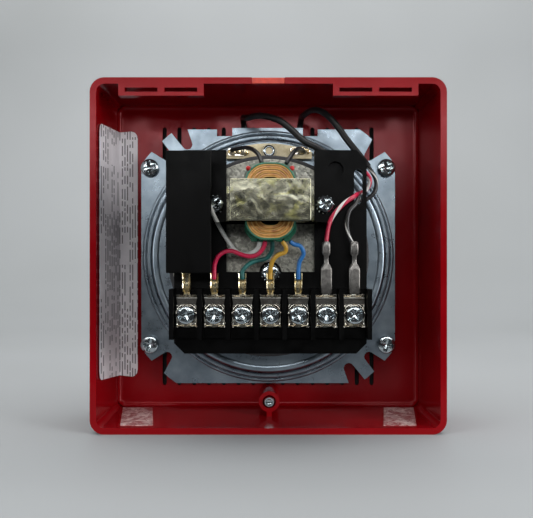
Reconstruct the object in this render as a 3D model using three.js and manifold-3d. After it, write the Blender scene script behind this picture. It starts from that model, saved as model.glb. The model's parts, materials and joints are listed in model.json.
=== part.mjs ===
// Wall-mounted fire alarm speaker strobe: a square moulded housing with a clear strobe lens on its
// front, and behind the grille a loudspeaker that carries a matching transformer and a screw
// terminal block on its back. All lengths are in millimetres.
//
// Every piece is built in a bench frame, looking into the open back of the housing:
// x to the right, y up, z out of the back, with z = 0 at the rear rim. The last lines stand
// the unit on its lower edge, with z up and the lens facing -y.
import * as THREE from 'three';
import { mergeVertices } from 'three/addons/utils/BufferGeometryUtils.js';
import Module from 'manifold-3d';

const wasm = await Module();
wasm.setup();

// ---- Driving dimensions ---------------------------------------------------------------------

const GAP = 0.3; // between pieces that touch
const ROUND_SIDES = 40; // facets of a large round piece
const HIDDEN_SIDES = 24; // facets of the soft pieces under the basket
const SMALL_SIDES = 12; // facets of a screw head, boss or hole

// Housing
const HOUSING_DEPTH = 37.5;
const SIDE_MARGIN = 10.95; // from the speaker flange to the inner wall at the rim
const SIDE_WALL = 2.3;
const FRONT_WALL = 2.5;
const HOUSING_CORNER = 5.3;
const FRONT_ROUND = 3;
const WALL_DRAFT = 0.9;
const POST_HEIGHT = 4;
const POST_RADIUS = 3.5;
const SLOT_PITCH = 6.05;
const SLOT_WIDTH = 1.7;
const SLOT_COUNT = 15;
const SLOT_REACH = 1.8; // grille slots run this far past the speaker flange
const CATCH_LENGTH = 30.7;
const CATCH_DROP = 4.3;
const CATCH_DEPTH = 4;
const CATCH_INSET = 10.3; // from the outer side wall to the catch
const CATCH_SLOT = 11.8;
const CATCH_SLOT_WIDTH = 1.5;
const CATCH_RIB = 2.5;
const PEEP_WIDTH = 12;
const PEEP_DEPTH = 0.6;
const BOSS_RADIUS = 4;
const BOSS_INSET = 8.4; // from the lower outer face to the boss axis
const BOSS_HEIGHT = 18;
const COVER_SCREW_RADIUS = 2.25;
const COVER_SCREW_HEAD = 2.9;
const LABEL_SHEET = 0.3;
const LABEL_FLOOR_WIDTH = 7.5;

// Strobe on the front
const LENS_WIDTH = 34;
const LENS_HEIGHT = 50;
const LENS_PROUD = 22.5;
const LENS_WALL = 1.6;
const LENS_ROUND = 5;
const LENS_FLANGE = 2;
const REFLECTOR_WALL = 1;
const REFLECTOR_HEIGHT = 13;
const TUBE_RADIUS = 2;
const TUBE_LENGTH = 32;
const BOARD_SHEET = 1.6;
const FLASH_CAP_RADIUS = 4.5;
const FLASH_CAP_LENGTH = 24;

// Loudspeaker
const SPEAKER_SIZE = 102;
const SHEET = 1;
const BASKET_DEPTH = 21;
const SHELF_RADIUS = 43;
const SPEAKER_HOLE_INSET_X = 3.6;
const SPEAKER_HOLE_INSET_Y = 15.6;
const SPEAKER_SCREW_HEAD = 3.6;
const SPEAKER_SCREW_SHANK = 1.4;
const CONE_SHEET = 0.5;
const COIL_RADIUS = 12.4;
const COIL_WALL = 0.6;
const AIR_GAP = 0.45;
const FRONT_PLATE_RADIUS = 32;
const FRONT_PLATE_SHEET = 4.5;
const MAGNET_RADIUS = 36;
const MAGNET_BORE = 17;
const MAGNET_SHEET = 5.5;
const BACK_PLATE_RADIUS = 34.1;
const BACK_PLATE_SHEET = 3.6;

// Rear bracket, its screws and the terminal block
const BRACKET_SHEET = 2.4;
const LEFT_LEG_MARGIN = 14.35; // from a foot's screw to the bracket's outer edge
const RIGHT_LEG_MARGIN = 14.55;
const BRACKET_BOTTOM = -34;
const BRACKET_TOP = 36.8;
const LEG_INSIDE = 15.35; // half the open window between the legs
const WINDOW_BOTTOM = -5.6;
const LEG_CHAMFER = 3.6;
const SLOT_IN_LEG = 3.2;
const BRACKET_SCREW_HEAD = 3;
const BRACKET_SCREW_SHANK = 1.5;
const TERMINAL_COUNT = 7;
const TERMINAL_PITCH = 9.525;
const TERMINAL_CENTRE_X = 0.68;
const TERMINAL_SCREW_Y = -20.06;
const BLOCK_RISE = 3.3;
const BLOCK_TOP = -11.2;
const BLOCK_BOTTOM = -28.2;
const BARRIER_WALL = 1.5;
const BARRIER_RISE = 5.5;
const TERMINAL_WIDTH = 7.3;
const TERMINAL_LENGTH = 11.1;
const TERMINAL_SHEET = 0.8;
const TAIL_WIDTH = 3.2;
const TAIL_LENGTH = 7.3;
const TAIL_SHEET = 0.6;
const TAB_WIDTH = 2.6;
const CLAMP_WIDTH = 7.1;
const CLAMP_LENGTH = 6.9;
const CLAMP_SHEET = 0.7;
const TERMINAL_SCREW_HEAD = 3.15;
const TERMINAL_SCREW_SHANK = 1.5;
const SCREW_HEAD_HEIGHT = 2;

// Transformer and blocking capacitor
const TRANSFORMER_X = 0.6;
const TRANSFORMER_Y = 17.8;
const STRAP_WIDTH = 26;
const STRAP_DEPTH = 13.4;
const STRAP_SHEET = 0.8;
const STRAP_HEIGHT = 24.2;
const FOOT_HOLE_SPACING = 38.1;
const FOOT_END = 4.2; // from a foot's hole to its end
const CORE_DEPTH = 12.6;
const CORE_LEG = 8;
const WINDOW_YOKE = 4.7;
const WINDING_WIDTH = 16.7;
const WINDING_LENGTH = 25.2;
const CAP_COVER_WIDTH = 11.1;
const CAP_COVER_LENGTH = 39.5;
const CAP_COVER_HEIGHT = 11.5;
const CAP_COVER_WALL = 1.2;
const CAP_LID_OVERHANG = 3.3;
const CAP_LID_LIP = 0.6;

// Leads
const WIRE = 1.5;

// ---- Places that follow from the sizes above ------------------------------------------------

const SPEAKER_HALF = SPEAKER_SIZE / 2;
const INNER_HALF = SPEAKER_HALF + SIDE_MARGIN;
const HALF = INNER_HALF + SIDE_WALL;
const FRONT_Z = -HOUSING_DEPTH;
const FLOOR_Z = FRONT_Z + FRONT_WALL;
const FLANGE_Z = FLOOR_Z + POST_HEIGHT;
const FLANGE_TOP = FLANGE_Z + SHEET;
const SHELF_TOP = FLANGE_TOP + BASKET_DEPTH;
const FRONT_PLATE_Z = SHELF_TOP + GAP;
const MAGNET_Z = FRONT_PLATE_Z + FRONT_PLATE_SHEET + GAP;
const BACK_PLATE_Z = MAGNET_Z + MAGNET_SHEET + GAP;
const BRACKET_Z = BACK_PLATE_Z + BACK_PLATE_SHEET + GAP;
const BRACKET_TOP_Z = BRACKET_Z + BRACKET_SHEET;
const BLOCK_TOP_Z = BRACKET_TOP_Z + BLOCK_RISE;
const TERMINAL_Z = BLOCK_TOP_Z + GAP;
const CLAMP_Z = TERMINAL_Z + TERMINAL_SHEET + GAP;
const TERMINAL_HEAD_Z = CLAMP_Z + CLAMP_SHEET + GAP;
const TERMINAL_TOP = TERMINAL_SCREW_Y + 6.86;
const TERMINAL_BOTTOM = TERMINAL_TOP - TERMINAL_LENGTH;
const TAIL_Z = TERMINAL_Z + 0.4;
const BASKET_MOUTH = SPEAKER_HALF - 0.8;
const CONE_EDGE = BASKET_MOUTH - 7.2;
const SPEAKER_HOLE_X = SPEAKER_HALF - SPEAKER_HOLE_INSET_X;
const SPEAKER_HOLE_Y = SPEAKER_HALF - SPEAKER_HOLE_INSET_Y;
const BOSS_X = 0.4;
const BOSS_Y = BOSS_INSET - HALF;
const FOOT_HALF = FOOT_HOLE_SPACING / 2;
const BRACKET_SCREWS = {
  left: [TRANSFORMER_X - FOOT_HALF, TRANSFORMER_Y],
  right: [TRANSFORMER_X + FOOT_HALF, TRANSFORMER_Y],
  lower: [0.7, WINDOW_BOTTOM - 0.3],
};
const BRACKET_LEFT = BRACKET_SCREWS.left[0] - LEFT_LEG_MARGIN;
const BRACKET_RIGHT = BRACKET_SCREWS.right[0] + RIGHT_LEG_MARGIN;

// ---- Finishes -------------------------------------------------------------------------------

const FINISH = {
  red: { color: 0x9e0b16, roughness: 0.22, metalness: 0 },
  clear: { color: 0xe8eef0, roughness: 0.05, metalness: 0, transparent: true, opacity: 0.35 },
  mirror: { color: 0xd8dadc, roughness: 0.08, metalness: 1 },
  glass: { color: 0xdfe8ea, roughness: 0.03, metalness: 0 },
  board: { color: 0x1f5a34, roughness: 0.5, metalness: 0 },
  foil: { color: 0x23262b, roughness: 0.4, metalness: 0 },
  paper: { color: 0xb4afb2, roughness: 0.7, metalness: 0 },
  zinc: { color: 0x8d979c, roughness: 0.35, metalness: 1 },
  spangle: { color: 0x92928c, roughness: 0.45, metalness: 1 },
  ferrite: { color: 0x2a2a2c, roughness: 0.7, metalness: 0.2 },
  pulp: { color: 0x24211e, roughness: 0.9, metalness: 0 },
  rubber: { color: 0x1b1b1b, roughness: 0.7, metalness: 0 },
  former: { color: 0x9a6a3c, roughness: 0.5, metalness: 0 },
  spider: { color: 0xb08a4a, roughness: 0.9, metalness: 0 },
  phenolic: { color: 0xc8b996, roughness: 0.6, metalness: 0 },
  black: { color: 0x141416, roughness: 0.4, metalness: 0 },
  tin: { color: 0xa8a49a, roughness: 0.3, metalness: 1 },
  chromate: { color: 0x9a915c, roughness: 0.35, metalness: 1 },
  lamination: { color: 0x4c4a47, roughness: 0.5, metalness: 0.8 },
  winding: { color: 0x96642a, roughness: 0.5, metalness: 0.3 },
  film: { color: 0xb89a3c, roughness: 0.4, metalness: 0 },
};

// ---- Solids ---------------------------------------------------------------------------------

function solid(geometry) {
  const bare = new THREE.BufferGeometry();
  bare.setAttribute('position', geometry.getAttribute('position').clone());
  if (geometry.index) bare.setIndex(geometry.index.clone());
  const welded = mergeVertices(bare, 1e-4);
  return new wasm.Manifold(new wasm.Mesh({
    numProp: 3,
    vertProperties: welded.getAttribute('position').array,
    triVerts: new Uint32Array(welded.index.array),
  }));
}

function geometryOf(body) {
  const mesh = body.getMesh();
  const geometry = new THREE.BufferGeometry();
  geometry.setAttribute('position', new THREE.BufferAttribute(mesh.vertProperties, 3));
  geometry.setIndex(new THREE.BufferAttribute(mesh.triVerts, 1));
  return geometry;
}

function join(first, ...others) {
  return geometryOf(others.reduce((whole, other) => whole.add(solid(other)), solid(first)));
}

function cut(first, ...tools) {
  return geometryOf(tools.reduce((whole, tool) => whole.subtract(solid(tool)), solid(first)));
}

function common(first, other) {
  return geometryOf(solid(first).intersect(solid(other)));
}

function moved(geometry, x, y, z = 0) {
  return geometry.clone().translate(x, y, z);
}

function halfTurned(geometry) {
  return geometry.clone().rotateZ(Math.PI);
}

function box(x0, x1, y0, y1, z0, z1) {
  const geometry = new THREE.BoxGeometry(x1 - x0, y1 - y0, z1 - z0);
  return geometry.translate((x0 + x1) / 2, (y0 + y1) / 2, (z0 + z1) / 2);
}

function post(x, y, radius, z0, z1, sides = SMALL_SIDES) {
  const geometry = new THREE.CylinderGeometry(radius, radius, z1 - z0, sides);
  return geometry.rotateX(Math.PI / 2).translate(x, y, (z0 + z1) / 2);
}

// A closed profile of [radius, z] points, counterclockwise, turned about the z axis.
function turned(profile, sides = ROUND_SIDES) {
  const points = profile.map(([radius, z]) => new THREE.Vector2(radius, z));
  const first = points[0];
  if (first.x > 0) points.push(first.clone());
  return new THREE.LatheGeometry(points, sides).rotateX(Math.PI / 2);
}

function polygon(points) {
  return new THREE.Shape(points.map(([x, y]) => new THREE.Vector2(x, y)));
}

function roundedRectangle(width, height, radius) {
  const shape = new THREE.Shape();
  const quarter = Math.PI / 2;
  [[1, -1], [1, 1], [-1, 1], [-1, -1]].forEach(([sx, sy], i) => {
    const x = sx * (width / 2 - radius);
    const y = sy * (height / 2 - radius);
    shape.absarc(x, y, radius, (i - 1) * quarter, i * quarter, false);
  });
  return shape;
}

function slab(shape, z0, z1, curveSegments = 4) {
  const geometry = new THREE.ExtrudeGeometry(shape, { depth: z1 - z0, bevelEnabled: false, curveSegments });
  return geometry.translate(0, 0, z0);
}

// A slab whose outline grows by `growth` over `rise` at its lower end (and shrinks again above z1).
function flared(shape, z0, rise, growth, z1, segments, curveSegments = 4) {
  const geometry = new THREE.ExtrudeGeometry(shape, {
    depth: z1 - z0 - rise,
    bevelThickness: rise,
    bevelSize: growth,
    bevelSegments: segments,
    curveSegments,
  });
  return geometry.translate(0, 0, z0 + rise);
}

// An outline in the (x, z) plane carried along y, and one in the (y, z) plane carried along x.
function alongY(shape, y0, y1) {
  return slab(shape, 0, y1 - y0).rotateX(Math.PI / 2).translate(0, y1, 0);
}

function alongX(shape, x0, x1) {
  const turn = new THREE.Matrix4().makeBasis(
    new THREE.Vector3(0, 1, 0),
    new THREE.Vector3(0, 0, 1),
    new THREE.Vector3(1, 0, 0),
  );
  return slab(shape, 0, x1 - x0).applyMatrix4(turn).translate(x0, 0, 0);
}

function ringHole(x, y, width, length, z0, z1) {
  return moved(slab(roundedRectangle(width, length, width / 2 - 0.001), z0, z1, 1), x, y);
}

function wire(route, diameter, steps) {
  const points = route.map(([x, y, z]) => new THREE.Vector3(x, y, z));
  const section = new THREE.Shape();
  section.absarc(0, 0, diameter / 2, 0, 2 * Math.PI, false);
  return new THREE.ExtrudeGeometry(section, {
    steps,
    curveSegments: 4, // eight sides
    extrudePath: new THREE.CatmullRomCurve3(points),
  });
}

const bench = new THREE.Group();

function add(name, geometry, finish) {
  const mesh = new THREE.Mesh(geometry, new THREE.MeshStandardMaterial(finish));
  mesh.name = name;
  bench.add(mesh);
}

// ---- Housing --------------------------------------------------------------------------------

function grilleSlots() {
  const slots = [];
  const reach = SPEAKER_HALF + SLOT_REACH;
  const strobeTop = LENS_HEIGHT / 2 + 4;
  for (let i = 0; i < SLOT_COUNT; i++) {
    const x = (i - (SLOT_COUNT - 1) / 2) * SLOT_PITCH;
    if (Math.abs(x) > LENS_WIDTH / 2 + 3) {
      slots.push(ringHole(x, 0, SLOT_WIDTH, 2 * reach, FRONT_Z - 1, FLOOR_Z + 1));
      continue;
    }
    for (const side of [-1, 1]) {
      const y = side * (reach + strobeTop) / 2;
      slots.push(ringHole(x, y, SLOT_WIDTH, reach - strobeTop, FRONT_Z - 1, FLOOR_Z + 1));
    }
  }
  return slots;
}

function wallCatch(side) {
  const outer = side * (HALF - CATCH_INSET);
  const inner = outer - side * CATCH_LENGTH;
  const x0 = Math.min(outer, inner);
  const y0 = INNER_HALF - CATCH_DROP;
  const block = box(x0, x0 + CATCH_LENGTH, y0, INNER_HALF + 1, -CATCH_DEPTH, 0);
  const slots = [-1, 1].map((end) => {
    const x = x0 + CATCH_LENGTH / 2 + end * (CATCH_SLOT + CATCH_RIB) / 2;
    const y = INNER_HALF - CATCH_DROP / 2;
    return box(
      x - CATCH_SLOT / 2, x + CATCH_SLOT / 2, y - CATCH_SLOT_WIDTH / 2, y + CATCH_SLOT_WIDTH / 2,
      -CATCH_DEPTH - 1, 1,
    );
  });
  return cut(block, ...slots);
}

function housing() {
  const blockSize = 2 * (HALF - FRONT_ROUND);
  const block = flared(
    roundedRectangle(blockSize, blockSize, HOUSING_CORNER - FRONT_ROUND),
    FRONT_Z, FRONT_ROUND, FRONT_ROUND, FRONT_ROUND, 2, 3,
  );
  const above = box(-HALF - 1, HALF + 1, -HALF - 1, HALF + 1, 0, HOUSING_DEPTH);
  const floorSize = 2 * (INNER_HALF - WALL_DRAFT);
  const pocket = flared(
    roundedRectangle(floorSize, floorSize, HOUSING_CORNER - SIDE_WALL - WALL_DRAFT),
    FLOOR_Z, -FLOOR_Z, WALL_DRAFT, 1, 1, 2,
  );
  const posts = [];
  const pilots = [];
  for (const sx of [-1, 1]) {
    for (const sy of [-1, 1]) {
      const x = sx * SPEAKER_HOLE_X;
      const y = sy * SPEAKER_HOLE_Y;
      posts.push(post(x, y, POST_RADIUS, FLOOR_Z - 1, FLANGE_Z - GAP));
      pilots.push(post(x, y, 1.7, FLOOR_Z + 0.5, FLANGE_Z + 1, 12));
    }
  }
  const bossTop = FLOOR_Z + BOSS_HEIGHT;
  const boss = post(BOSS_X, BOSS_Y, BOSS_RADIUS, FLOOR_Z - 1, bossTop, 20);
  const bossWall = box(BOSS_X - 1, BOSS_X + 1, -INNER_HALF - 1, BOSS_Y - 3.5, FLOOR_Z - 1, bossTop);
  const shell = join(cut(block, above, pocket), ...posts, wallCatch(-1), wallCatch(1), boss, bossWall);
  const lensHole = slab(
    roundedRectangle(LENS_WIDTH + 2 * GAP, LENS_HEIGHT + 2 * GAP, LENS_ROUND), FRONT_Z - 1, FLOOR_Z + 1,
  );
  const screwHole = post(BOSS_X, BOSS_Y, COVER_SCREW_RADIUS + GAP, FRONT_Z - 1, bossTop + 1);
  const headHole = post(BOSS_X, BOSS_Y, COVER_SCREW_HEAD + GAP, FRONT_Z - 1, FRONT_Z + 3);
  const peep = box(
    -PEEP_WIDTH / 2, PEEP_WIDTH / 2, INNER_HALF - 1, HALF + 1, -PEEP_DEPTH, 1,
  );
  return cut(shell, ...grilleSlots(), ...pilots, lensHole, screwHole, headHole, peep);
}

// The rating label is one sheet, folded from the left wall onto the floor.
function ratingLabel() {
  const top = -3;
  const wallAt = (z) => -(INNER_HALF + WALL_DRAFT * z / -FLOOR_Z) + GAP;
  const floor = FLOOR_Z + GAP;
  const edge = wallAt(FLOOR_Z) + LABEL_FLOOR_WIDTH;
  const fold = polygon([
    [wallAt(top), top],
    [wallAt(FLOOR_Z), floor],
    [edge, floor],
    [edge, floor + LABEL_SHEET],
    [wallAt(FLOOR_Z) + LABEL_SHEET, floor + LABEL_SHEET],
    [wallAt(top) + LABEL_SHEET, top],
  ]);
  const upper = SPEAKER_HALF + 1.7;
  const lower = -SPEAKER_HALF + 1.4;
  const outline = polygon([
    [lower, floor - 1],
    [upper, floor - 1],
    [upper - 4, top - 3],
    [upper - 7, top + 1],
    [lower + 7.5, top + 1],
    [lower + 4.5, top - 3],
  ]);
  return common(alongY(fold, lower - 1, upper + 1), alongX(outline, -HALF, 0));
}

function coverScrew() {
  const tip = FLOOR_Z + BOSS_HEIGHT + 1;
  const shank = post(BOSS_X, BOSS_Y, COVER_SCREW_RADIUS, FRONT_Z + 1, tip);
  const head = post(BOSS_X, BOSS_Y, COVER_SCREW_HEAD, FRONT_Z + 0.4, FRONT_Z + 3 - GAP);
  const cup = post(BOSS_X, BOSS_Y, COVER_SCREW_RADIUS / 2, tip - 2, tip + 1);
  const drive = box(BOSS_X - 2.4, BOSS_X + 2.4, BOSS_Y - 0.4, BOSS_Y + 0.4, FRONT_Z, FRONT_Z + 1.2);
  return cut(join(shank, head), cup, drive);
}

add('housing', housing(), FINISH.red);
add('rating_label', ratingLabel(), FINISH.paper);
add('cover_screw', coverScrew(), FINISH.zinc);

// ---- Strobe ---------------------------------------------------------------------------------

function strobeLens() {
  const front = FRONT_Z - LENS_PROUD;
  const back = FLOOR_Z + GAP;
  const dome = (inset, z) => flared(
    roundedRectangle(LENS_WIDTH - 2 * LENS_ROUND - 2 * inset, LENS_HEIGHT - 2 * LENS_ROUND - 2 * inset, 1),
    z, LENS_ROUND, LENS_ROUND, LENS_ROUND, 3,
  );
  const behind = box(-LENS_WIDTH, LENS_WIDTH, -LENS_HEIGHT, LENS_HEIGHT, back + 1.2, LENS_PROUD);
  const flange = slab(
    roundedRectangle(LENS_WIDTH + 2 * LENS_FLANGE, LENS_HEIGHT + 2 * LENS_FLANGE, 3), back, back + 1.2,
  );
  return cut(join(cut(dome(0, front), behind), flange), dome(LENS_WALL, front + LENS_WALL));
}

const BOARD_Z = FLOOR_Z + GAP + 1.2 + GAP;
const REFLECTOR_Z = BOARD_Z - GAP;

function strobeReflector() {
  const width = LENS_WIDTH - 2 * LENS_WALL - 2 * GAP - 1;
  const height = LENS_HEIGHT - 2 * LENS_WALL - 2 * GAP - 1;
  const front = REFLECTOR_Z - REFLECTOR_HEIGHT;
  const tray = slab(roundedRectangle(width, height, 3.5), front, REFLECTOR_Z);
  const slope = 4;
  const dish = flared(
    roundedRectangle(width - 2 * (slope + REFLECTOR_WALL), height - 2 * (slope + REFLECTOR_WALL), 0.5),
    -REFLECTOR_Z + REFLECTOR_WALL, REFLECTOR_HEIGHT - REFLECTOR_WALL, slope, -front + 1, 1,
  ).rotateX(Math.PI);
  const pins = [-1, 1].map((end) => post(
    0, end * (TUBE_LENGTH / 2 - 2), 0.5 + GAP, front, REFLECTOR_Z + 1, 8,
  ));
  return cut(tray, dish, ...pins);
}

function flashTube() {
  const z = REFLECTOR_Z - REFLECTOR_HEIGHT / 2;
  const glass = new THREE.CylinderGeometry(TUBE_RADIUS, TUBE_RADIUS, TUBE_LENGTH, 14).translate(0, 0, z);
  const pins = [-1, 1].map((end) => post(0, end * (TUBE_LENGTH / 2 - 2), 0.5, z, REFLECTOR_Z, 8));
  return join(glass, ...pins);
}

function strobeBoard() {
  const width = LENS_WIDTH + 2 * LENS_FLANGE;
  const height = LENS_HEIGHT + 2 * LENS_FLANGE;
  return slab(roundedRectangle(width, height, 2), BOARD_Z, BOARD_Z + BOARD_SHEET);
}

function flashCapacitor() {
  const z = BOARD_Z + BOARD_SHEET + GAP + FLASH_CAP_RADIUS;
  return new THREE.CylinderGeometry(FLASH_CAP_RADIUS, FLASH_CAP_RADIUS, FLASH_CAP_LENGTH, 18)
    .translate(-8, 0, z);
}

add('strobe_lens', strobeLens(), FINISH.clear);
add('strobe_reflector', strobeReflector(), FINISH.mirror);
add('flash_tube', flashTube(), FINISH.glass);
add('strobe_board', strobeBoard(), FINISH.board);
add('flash_capacitor', flashCapacitor(), FINISH.foil);

// ---- Loudspeaker ----------------------------------------------------------------------------

// A notch with a round root and straight sides that open towards its two lips.
function flaredNotch([x, y], radius, lips) {
  const middle = [(lips[0][0] + lips[1][0]) / 2 - x, (lips[0][1] + lips[1][1]) / 2 - y];
  const length = Math.hypot(...middle);
  const across = [-middle[1] / length * radius, middle[0] / length * radius];
  const side = (lips[1][0] - x) * across[0] + (lips[1][1] - y) * across[1] > 0 ? 1 : -1;
  const roots = [[x - side * across[0], y - side * across[1]], [x + side * across[0], y + side * across[1]]];
  const ends = lips.map(([lx, ly], i) => [2 * lx - roots[i][0], 2 * ly - roots[i][1]]);
  const mouth = slab(polygon([roots[0], ends[0], ends[1], roots[1]]), FLANGE_Z - 1, FLANGE_TOP + 1);
  return join(mouth, post(x, y, radius, FLANGE_Z - 1, FLANGE_TOP + 1));
}

// Corner notches repeat after half a turn; the two square notches are in the top edge alone.
function flangeCuts() {
  const h = SPEAKER_HALF;
  const corners = [
    flaredNotch([h - 10.4, h - 10.6], 2, [[h - 3.8, h - 8.8], [h - 9, h - 3.8]]),
    flaredNotch([10.4 - h, h - 10.6], 2, [[3.8 - h, h - 8.8], [8.1 - h, h - 4.4]]),
    flaredNotch([18.5 - h, h - 6], 2.1, [[12.4 - h, h - 1.8], [18.6 - h, h]]),
  ];
  const top = [
    box(-20.6, -14.4, h - 2.7, h + 1, FLANGE_Z - 1, FLANGE_TOP + 1),
    box(14, 20, h - 2.7, h + 1, FLANGE_Z - 1, FLANGE_TOP + 1),
  ];
  return [...corners, ...corners.map(halfTurned), ...top];
}

function speakerFrame() {
  const h = SPEAKER_HALF;
  const square = box(-h, h, -h, h, FLANGE_Z, FLANGE_TOP);
  const round = post(0, 0, h + 12, FLANGE_Z - 1, FLANGE_TOP + 1, 64);
  const lip = box(-14.4, 14, h - 3, h + 0.6, FLANGE_Z, FLANGE_TOP);
  const plate = join(common(square, round), lip);
  const mouth = post(0, 0, BASKET_MOUTH - 0.6, FLANGE_Z - 1, FLANGE_TOP + 1, ROUND_SIDES);
  const holes = [];
  for (const sx of [-1, 1]) {
    for (const sy of [-1, 1]) {
      holes.push(post(sx * SPEAKER_HOLE_X, sy * SPEAKER_HOLE_Y, 1.9, FLANGE_Z - 1, FLANGE_TOP + 1, 12));
    }
  }
  const shelfUnder = SHELF_TOP - SHEET;
  const basket = turned([
    [COIL_RADIUS + COIL_WALL + 2, shelfUnder],
    [SHELF_RADIUS - 1, shelfUnder],
    [BASKET_MOUTH - 4, FLANGE_TOP + 3],
    [BASKET_MOUTH - 1.6, FLANGE_Z],
    [BASKET_MOUTH, FLANGE_Z],
    [BASKET_MOUTH, FLANGE_TOP],
    [BASKET_MOUTH - 2, FLANGE_TOP + 2],
    [BASKET_MOUTH - 2.9, FLANGE_TOP + 3.5],
    [SHELF_RADIUS + 0.4, SHELF_TOP - 0.8],
    [SHELF_RADIUS - 0.6, SHELF_TOP],
    [COIL_RADIUS + COIL_WALL + 2, SHELF_TOP],
  ]);
  return join(cut(plate, mouth, ...holes, ...flangeCuts()), basket);
}

// The paper cone and its dust cap are one turned sheet.
function cone() {
  const rim = FLANGE_Z + 0.2;
  const neck = FLANGE_TOP + 15;
  return turned([
    [0, neck - 5],
    [6, neck - 4.3],
    [11, neck - 2.6],
    [COIL_RADIUS + 1.6, neck - 0.9],
    [CONE_EDGE, rim - CONE_SHEET],
    [CONE_EDGE, rim],
    [COIL_RADIUS + 1.4, neck - 0.2],
    [11, neck - 2],
    [6, neck - 3.8],
    [0, neck - 5 + CONE_SHEET],
  ], HIDDEN_SIDES);
}

// The roll is a thin arch between the cone edge and a flat land under the flange.
function coneSurround() {
  const inner = CONE_EDGE + GAP;
  const roll = 2;
  const sheet = 0.4;
  const top = FLANGE_Z - GAP;
  const arch = (radius, turn) => {
    const points = [];
    for (let i = 0; i <= 3; i++) {
      const angle = turn > 0 ? Math.PI * i / 3 : Math.PI * (1 - i / 3);
      points.push([inner + roll + radius * Math.cos(angle), top - sheet + radius * Math.sin(angle)]);
    }
    return points;
  };
  return turned([
    ...arch(roll - sheet, -1),
    [BASKET_MOUTH, top - sheet],
    [BASKET_MOUTH, top],
    [inner + 2 * roll + 0.1, top],
    ...arch(roll, 1).slice(1),
  ], HIDDEN_SIDES);
}

function spider() {
  const land = SHELF_TOP - SHEET - GAP;
  const inner = COIL_RADIUS + COIL_WALL + GAP;
  const low = land - 2.4;
  return turned([
    [inner, low],
    [18, low],
    [21, low + 1.2],
    [25, land - 0.4],
    [30, land - 0.4],
    [30, land],
    [24.6, land],
    [21, low + 1.6],
    [18, low + 0.4],
    [inner, low + 0.4],
  ], HIDDEN_SIDES);
}

function ring(inner, outer, z0, z1) {
  return turned([[inner, z0], [outer, z0], [outer, z1], [inner, z1]]);
}

function backPlate() {
  const pole = COIL_RADIUS - AIR_GAP;
  const top = BACK_PLATE_Z + BACK_PLATE_SHEET;
  const body = turned([
    [0, FRONT_PLATE_Z],
    [pole, FRONT_PLATE_Z],
    [pole, BACK_PLATE_Z],
    [BACK_PLATE_RADIUS, BACK_PLATE_Z],
    [BACK_PLATE_RADIUS, top - 0.5],
    [BACK_PLATE_RADIUS - 0.5, top],
    [0, top],
  ]);
  const taps = Object.values(BRACKET_SCREWS).map(([x, y]) => post(
    x, y, BRACKET_SCREW_SHANK + GAP, top - BACK_PLATE_SHEET + 0.4, top + 1, 12,
  ));
  return cut(body, ...taps);
}

const LUG_BOARD_Z = SHELF_TOP + 1.5;

function terminalBoard() {
  const disc = post(0, 0, SHELF_RADIUS - 1.5, LUG_BOARD_Z, LUG_BOARD_Z + 1.5, 64);
  const strip = common(disc, box(
    -15.5, 16, MAGNET_RADIUS - 0.2, SHELF_RADIUS, LUG_BOARD_Z, LUG_BOARD_Z + 1.5,
  ));
  return join(strip, post(0.3, MAGNET_RADIUS + 2.6, 2.65, SHELF_TOP + GAP, LUG_BOARD_Z + 2));
}

function panScrew(x, y, headRadius, shankRadius, headZ, length, slotWidth = 0.9) {
  const top = headZ + SCREW_HEAD_HEIGHT;
  const profile = [
    [0, headZ - length],
    [shankRadius, headZ - length],
    [shankRadius, headZ],
    [headRadius, headZ],
    [headRadius, top - 0.8],
    [headRadius - 0.8, top],
    [0, top],
  ];
  const slot = [
    box(-headRadius + 0.6, headRadius - 0.6, -slotWidth / 2, slotWidth / 2, top - 0.9, top + 1),
    box(-slotWidth / 2, slotWidth / 2, -headRadius + 1.2, headRadius - 1.2, top - 0.9, top + 1),
  ];
  return moved(cut(turned(profile, SMALL_SIDES), ...slot), x, y);
}

add('speaker_frame', speakerFrame(), FINISH.zinc);
add('cone', cone(), FINISH.pulp);
add('cone_surround', coneSurround(), FINISH.rubber);
const COIL_Z = FLANGE_TOP + 15 + GAP;
add('voice_coil', ring(COIL_RADIUS, COIL_RADIUS + COIL_WALL, COIL_Z, FRONT_PLATE_Z + 4), FINISH.former);
add('spider', spider(), FINISH.spider);
const PLATE_BORE = COIL_RADIUS + COIL_WALL + AIR_GAP;
const FRONT_PLATE_TOP = FRONT_PLATE_Z + FRONT_PLATE_SHEET;
add('front_pole_plate', ring(PLATE_BORE, FRONT_PLATE_RADIUS, FRONT_PLATE_Z, FRONT_PLATE_TOP), FINISH.zinc);
add('magnet', ring(MAGNET_BORE, MAGNET_RADIUS, MAGNET_Z, MAGNET_Z + MAGNET_SHEET), FINISH.ferrite);
add('back_plate', backPlate(), FINISH.spangle);
add('terminal_board', terminalBoard(), FINISH.phenolic);
[[-1, 1], [1, 1], [-1, -1], [1, -1]].forEach(([sx, sy], i) => {
  const screw = panScrew(
    sx * SPEAKER_HOLE_X, sy * SPEAKER_HOLE_Y, SPEAKER_SCREW_HEAD, SPEAKER_SCREW_SHANK,
    FLANGE_TOP + GAP, SHEET + GAP + POST_HEIGHT - 1.2,
  );
  add(`speaker_screw_${i + 1}`, screw, FINISH.zinc);
});

// ---- Rear bracket, transformer and blocking capacitor ---------------------------------------

function terminalX(i) {
  return TERMINAL_CENTRE_X + (i - (TERMINAL_COUNT - 1) / 2) * TERMINAL_PITCH;
}

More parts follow.
